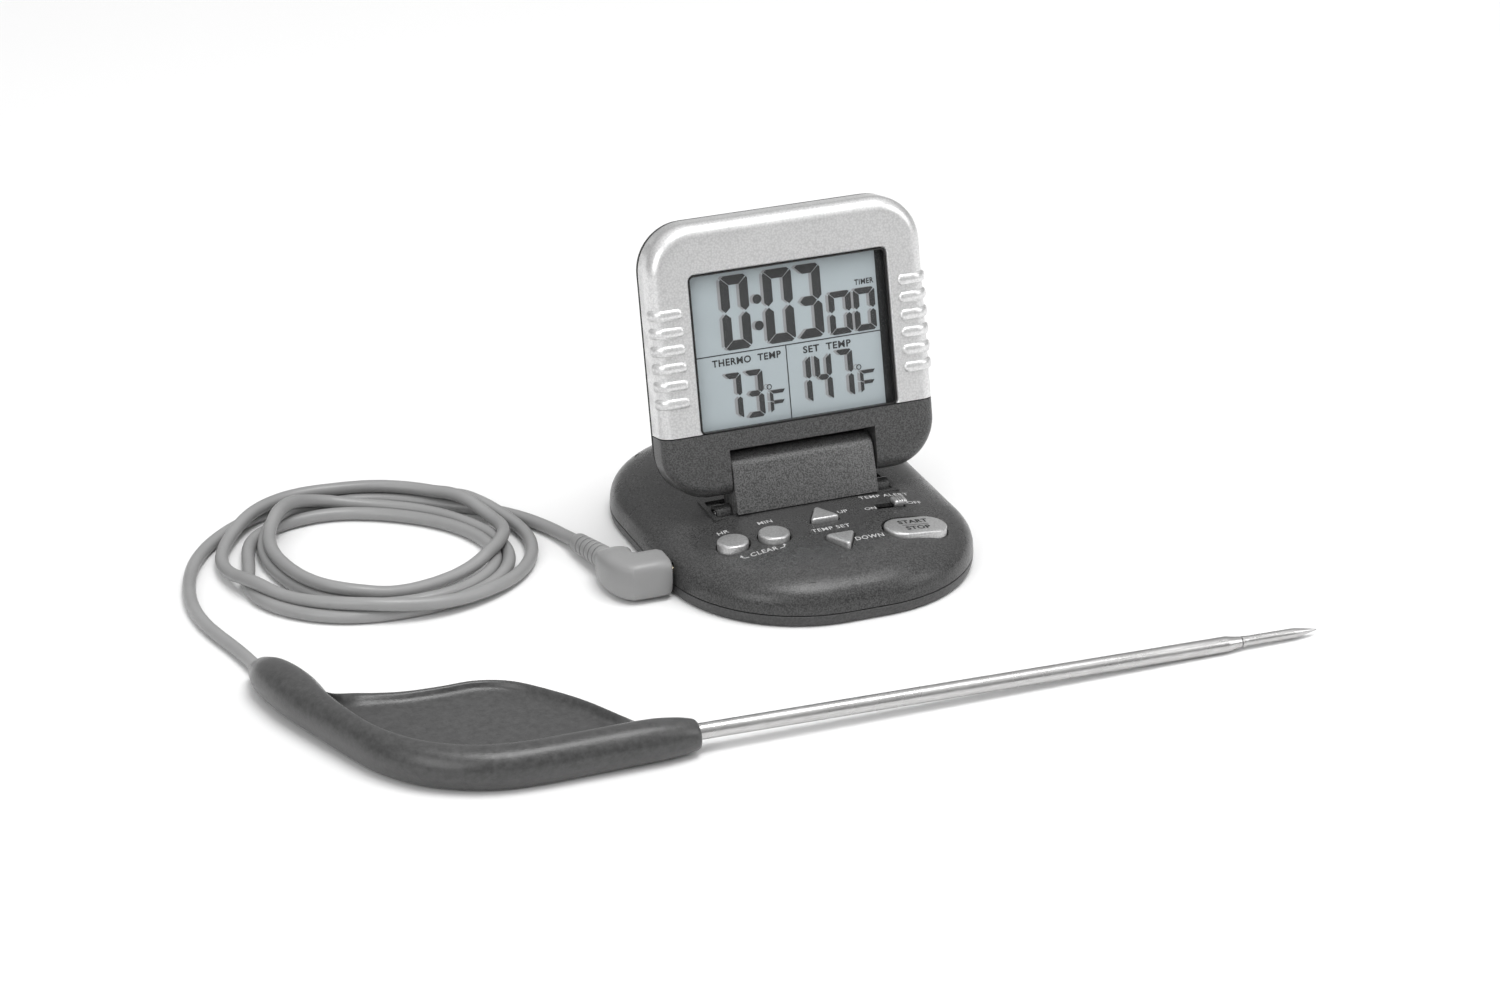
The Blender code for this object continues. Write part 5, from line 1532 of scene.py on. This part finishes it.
def handle_section(spine, radius, edge):
    """One ring of the handle: a circle where it is slim, and a tube, pad and rim where wide."""
    across = Vector((edge[0] - spine[0], edge[1] - spine[1]))
    width = across.length
    across.normalize()
    lift = 0.05
    if spine[0] > STEM_SIDE_X:
        lift = STEM_START.z - 0.35 * (4.9 - radius) - radius
    floor = min(PAD_FLOOR, 1.9 * radius)
    rim = min(PAD_RIM, 1.95 * radius)
    near = 1.35 * radius
    far = max(width - 5.0, near + 0.8)
    turns = (180, 150, 120, 90, 65, 45, 30, 20, 10, 0, -15, -35, -60, -90, -120, -150)
    slim = [(radius * cos(radians(turn)), radius + radius * sin(radians(turn))) for turn in turns]
    wide = [(-radius, radius), (-0.87 * radius, 1.5 * radius), (-0.5 * radius, 1.87 * radius),
            (0.0, 2 * radius), (0.5 * radius, 1.86 * radius),
            (0.95 * radius, floor + 0.35 * (2 * radius - floor)),
            (near, floor + 0.25), (0.5 * (near + far), floor), (far, floor + 0.25),
            (max(width - 2.6, far + 0.5), rim), (width - 0.9, rim - 0.9), (width, 0.5 * rim),
            (width - 1.2, 0.7), (0.5 * width, 0.25), (0.0, 0.1), (-0.7 * radius, 0.3 * radius)]
    share = min(max((width - radius) / WIDE_AT, 0.0), 1.0)
    share = share * share * (3 - 2 * share)
    ring = []
    for (slim_t, slim_z), (wide_t, wide_z) in zip(slim, wide):
        reach = slim_t + (wide_t - slim_t) * share
        height = slim_z + (wide_z - slim_z) * share
        ring.append((spine[0] + across.x * reach, spine[1] + across.y * reach, height + lift))
    return ring


def spline_between(rows, steps, closed):
    """Rows of points with smooth ones put between them, along the first axis."""
    rows = np.array(rows, float)
    if closed:
        padded = np.concatenate([rows[-1:], rows, rows[:2]])
    else:
        padded = np.concatenate([2 * rows[:1] - rows[1:2], rows, 2 * rows[-1:] - rows[-2:-1]])
    found = []
    for index in range(len(padded) - 3):
        for step in range(steps):
            found.append(catmull_rom(*padded[index:index + 4], step / steps))
    if not closed:
        found.append(rows[-1])
    return np.array(found)


def stem_point(distance):
    return STEM_START + (STEM_END - STEM_START).normalized() * distance


def make_probe():
    rings = np.array([handle_section(*station) for station in HANDLE_STATIONS])
    rings = spline_between(rings, 5, False)
    around = spline_between(rings.transpose(1, 0, 2), 4, True).transpose(1, 0, 2)
    around[:, :, 2] = np.maximum(around[:, :, 2], 0.05)
    solid = loft([[tuple(point) for point in ring] for ring in around])
    handle = piece("soft_handle", solid, silicone, "lead", ["probe_handle"],
                   angle=50.0)
    room = turned(stem_point(-34.0), stem_point(-8.0), ((3.2, 0.0), (3.2, 26.0)), 32)
    mouth = turned(stem_point(-9.0), stem_point(5.0), ((2.2, 0.0), (2.2, 14.0)), 32)
    carve(handle, cut(room), cut(mouth), angle=50.0)

    solid = turned(stem_point(-31.0), stem_point(9.0), STEM_WALL, 48, hollow=True)
    piece("steel_stem", solid, stem_steel, "lead", ["probe_stem"])
    reach = (STEM_END - STEM_START).length
    long = reach - TIP_BEGIN
    tip = [(1.2, 0.0), (1.32, 0.15), (1.32, 0.6), (1.22, 1.2), (1.2, 1.6), (1.2, 8.0)]
    tip += [(radius, long - back) for radius, back in TIP_TAPER]
    piece("steel_point", turned(stem_point(TIP_BEGIN), stem_point(reach), tip, 40), stem_steel, "lead",
          ["probe_tip"])


def dress_kept_nodes():
    """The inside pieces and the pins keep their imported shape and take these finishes."""
    looks = {
        "main_circuit_board": board_green, "display_circuit_board": board_green, "key_mat": rubber,
        "display_contact_strip": rubber, "alert_switch_body": black_plastic, "buzzer": black_plastic,
        "probe_jack": black_plastic, "display_driver_chip": black_plastic, "handle_core": dark_side,
        "temperature_sensor": black_plastic, "magnet_left": screw_steel, "magnet_right": screw_steel,
        "battery": cell_sleeve, "battery_contact_plate": brass, "battery_contact_spring": brass,
        "lower_hinge_pin": screw_steel, "upper_hinge_pin": screw_steel,
    }
    for name, look in looks.items():
        for index in range(len(nodes[name].material_slots)):
            nodes[name].material_slots[index].material = look


make_base_top()
make_base_bottom()
make_door()
make_screws()
make_keys()
make_switch()
make_hinge()
make_bezel()
make_chin()
make_rear()
make_display()
make_labels()
make_plug()
make_probe()
dress_kept_nodes()
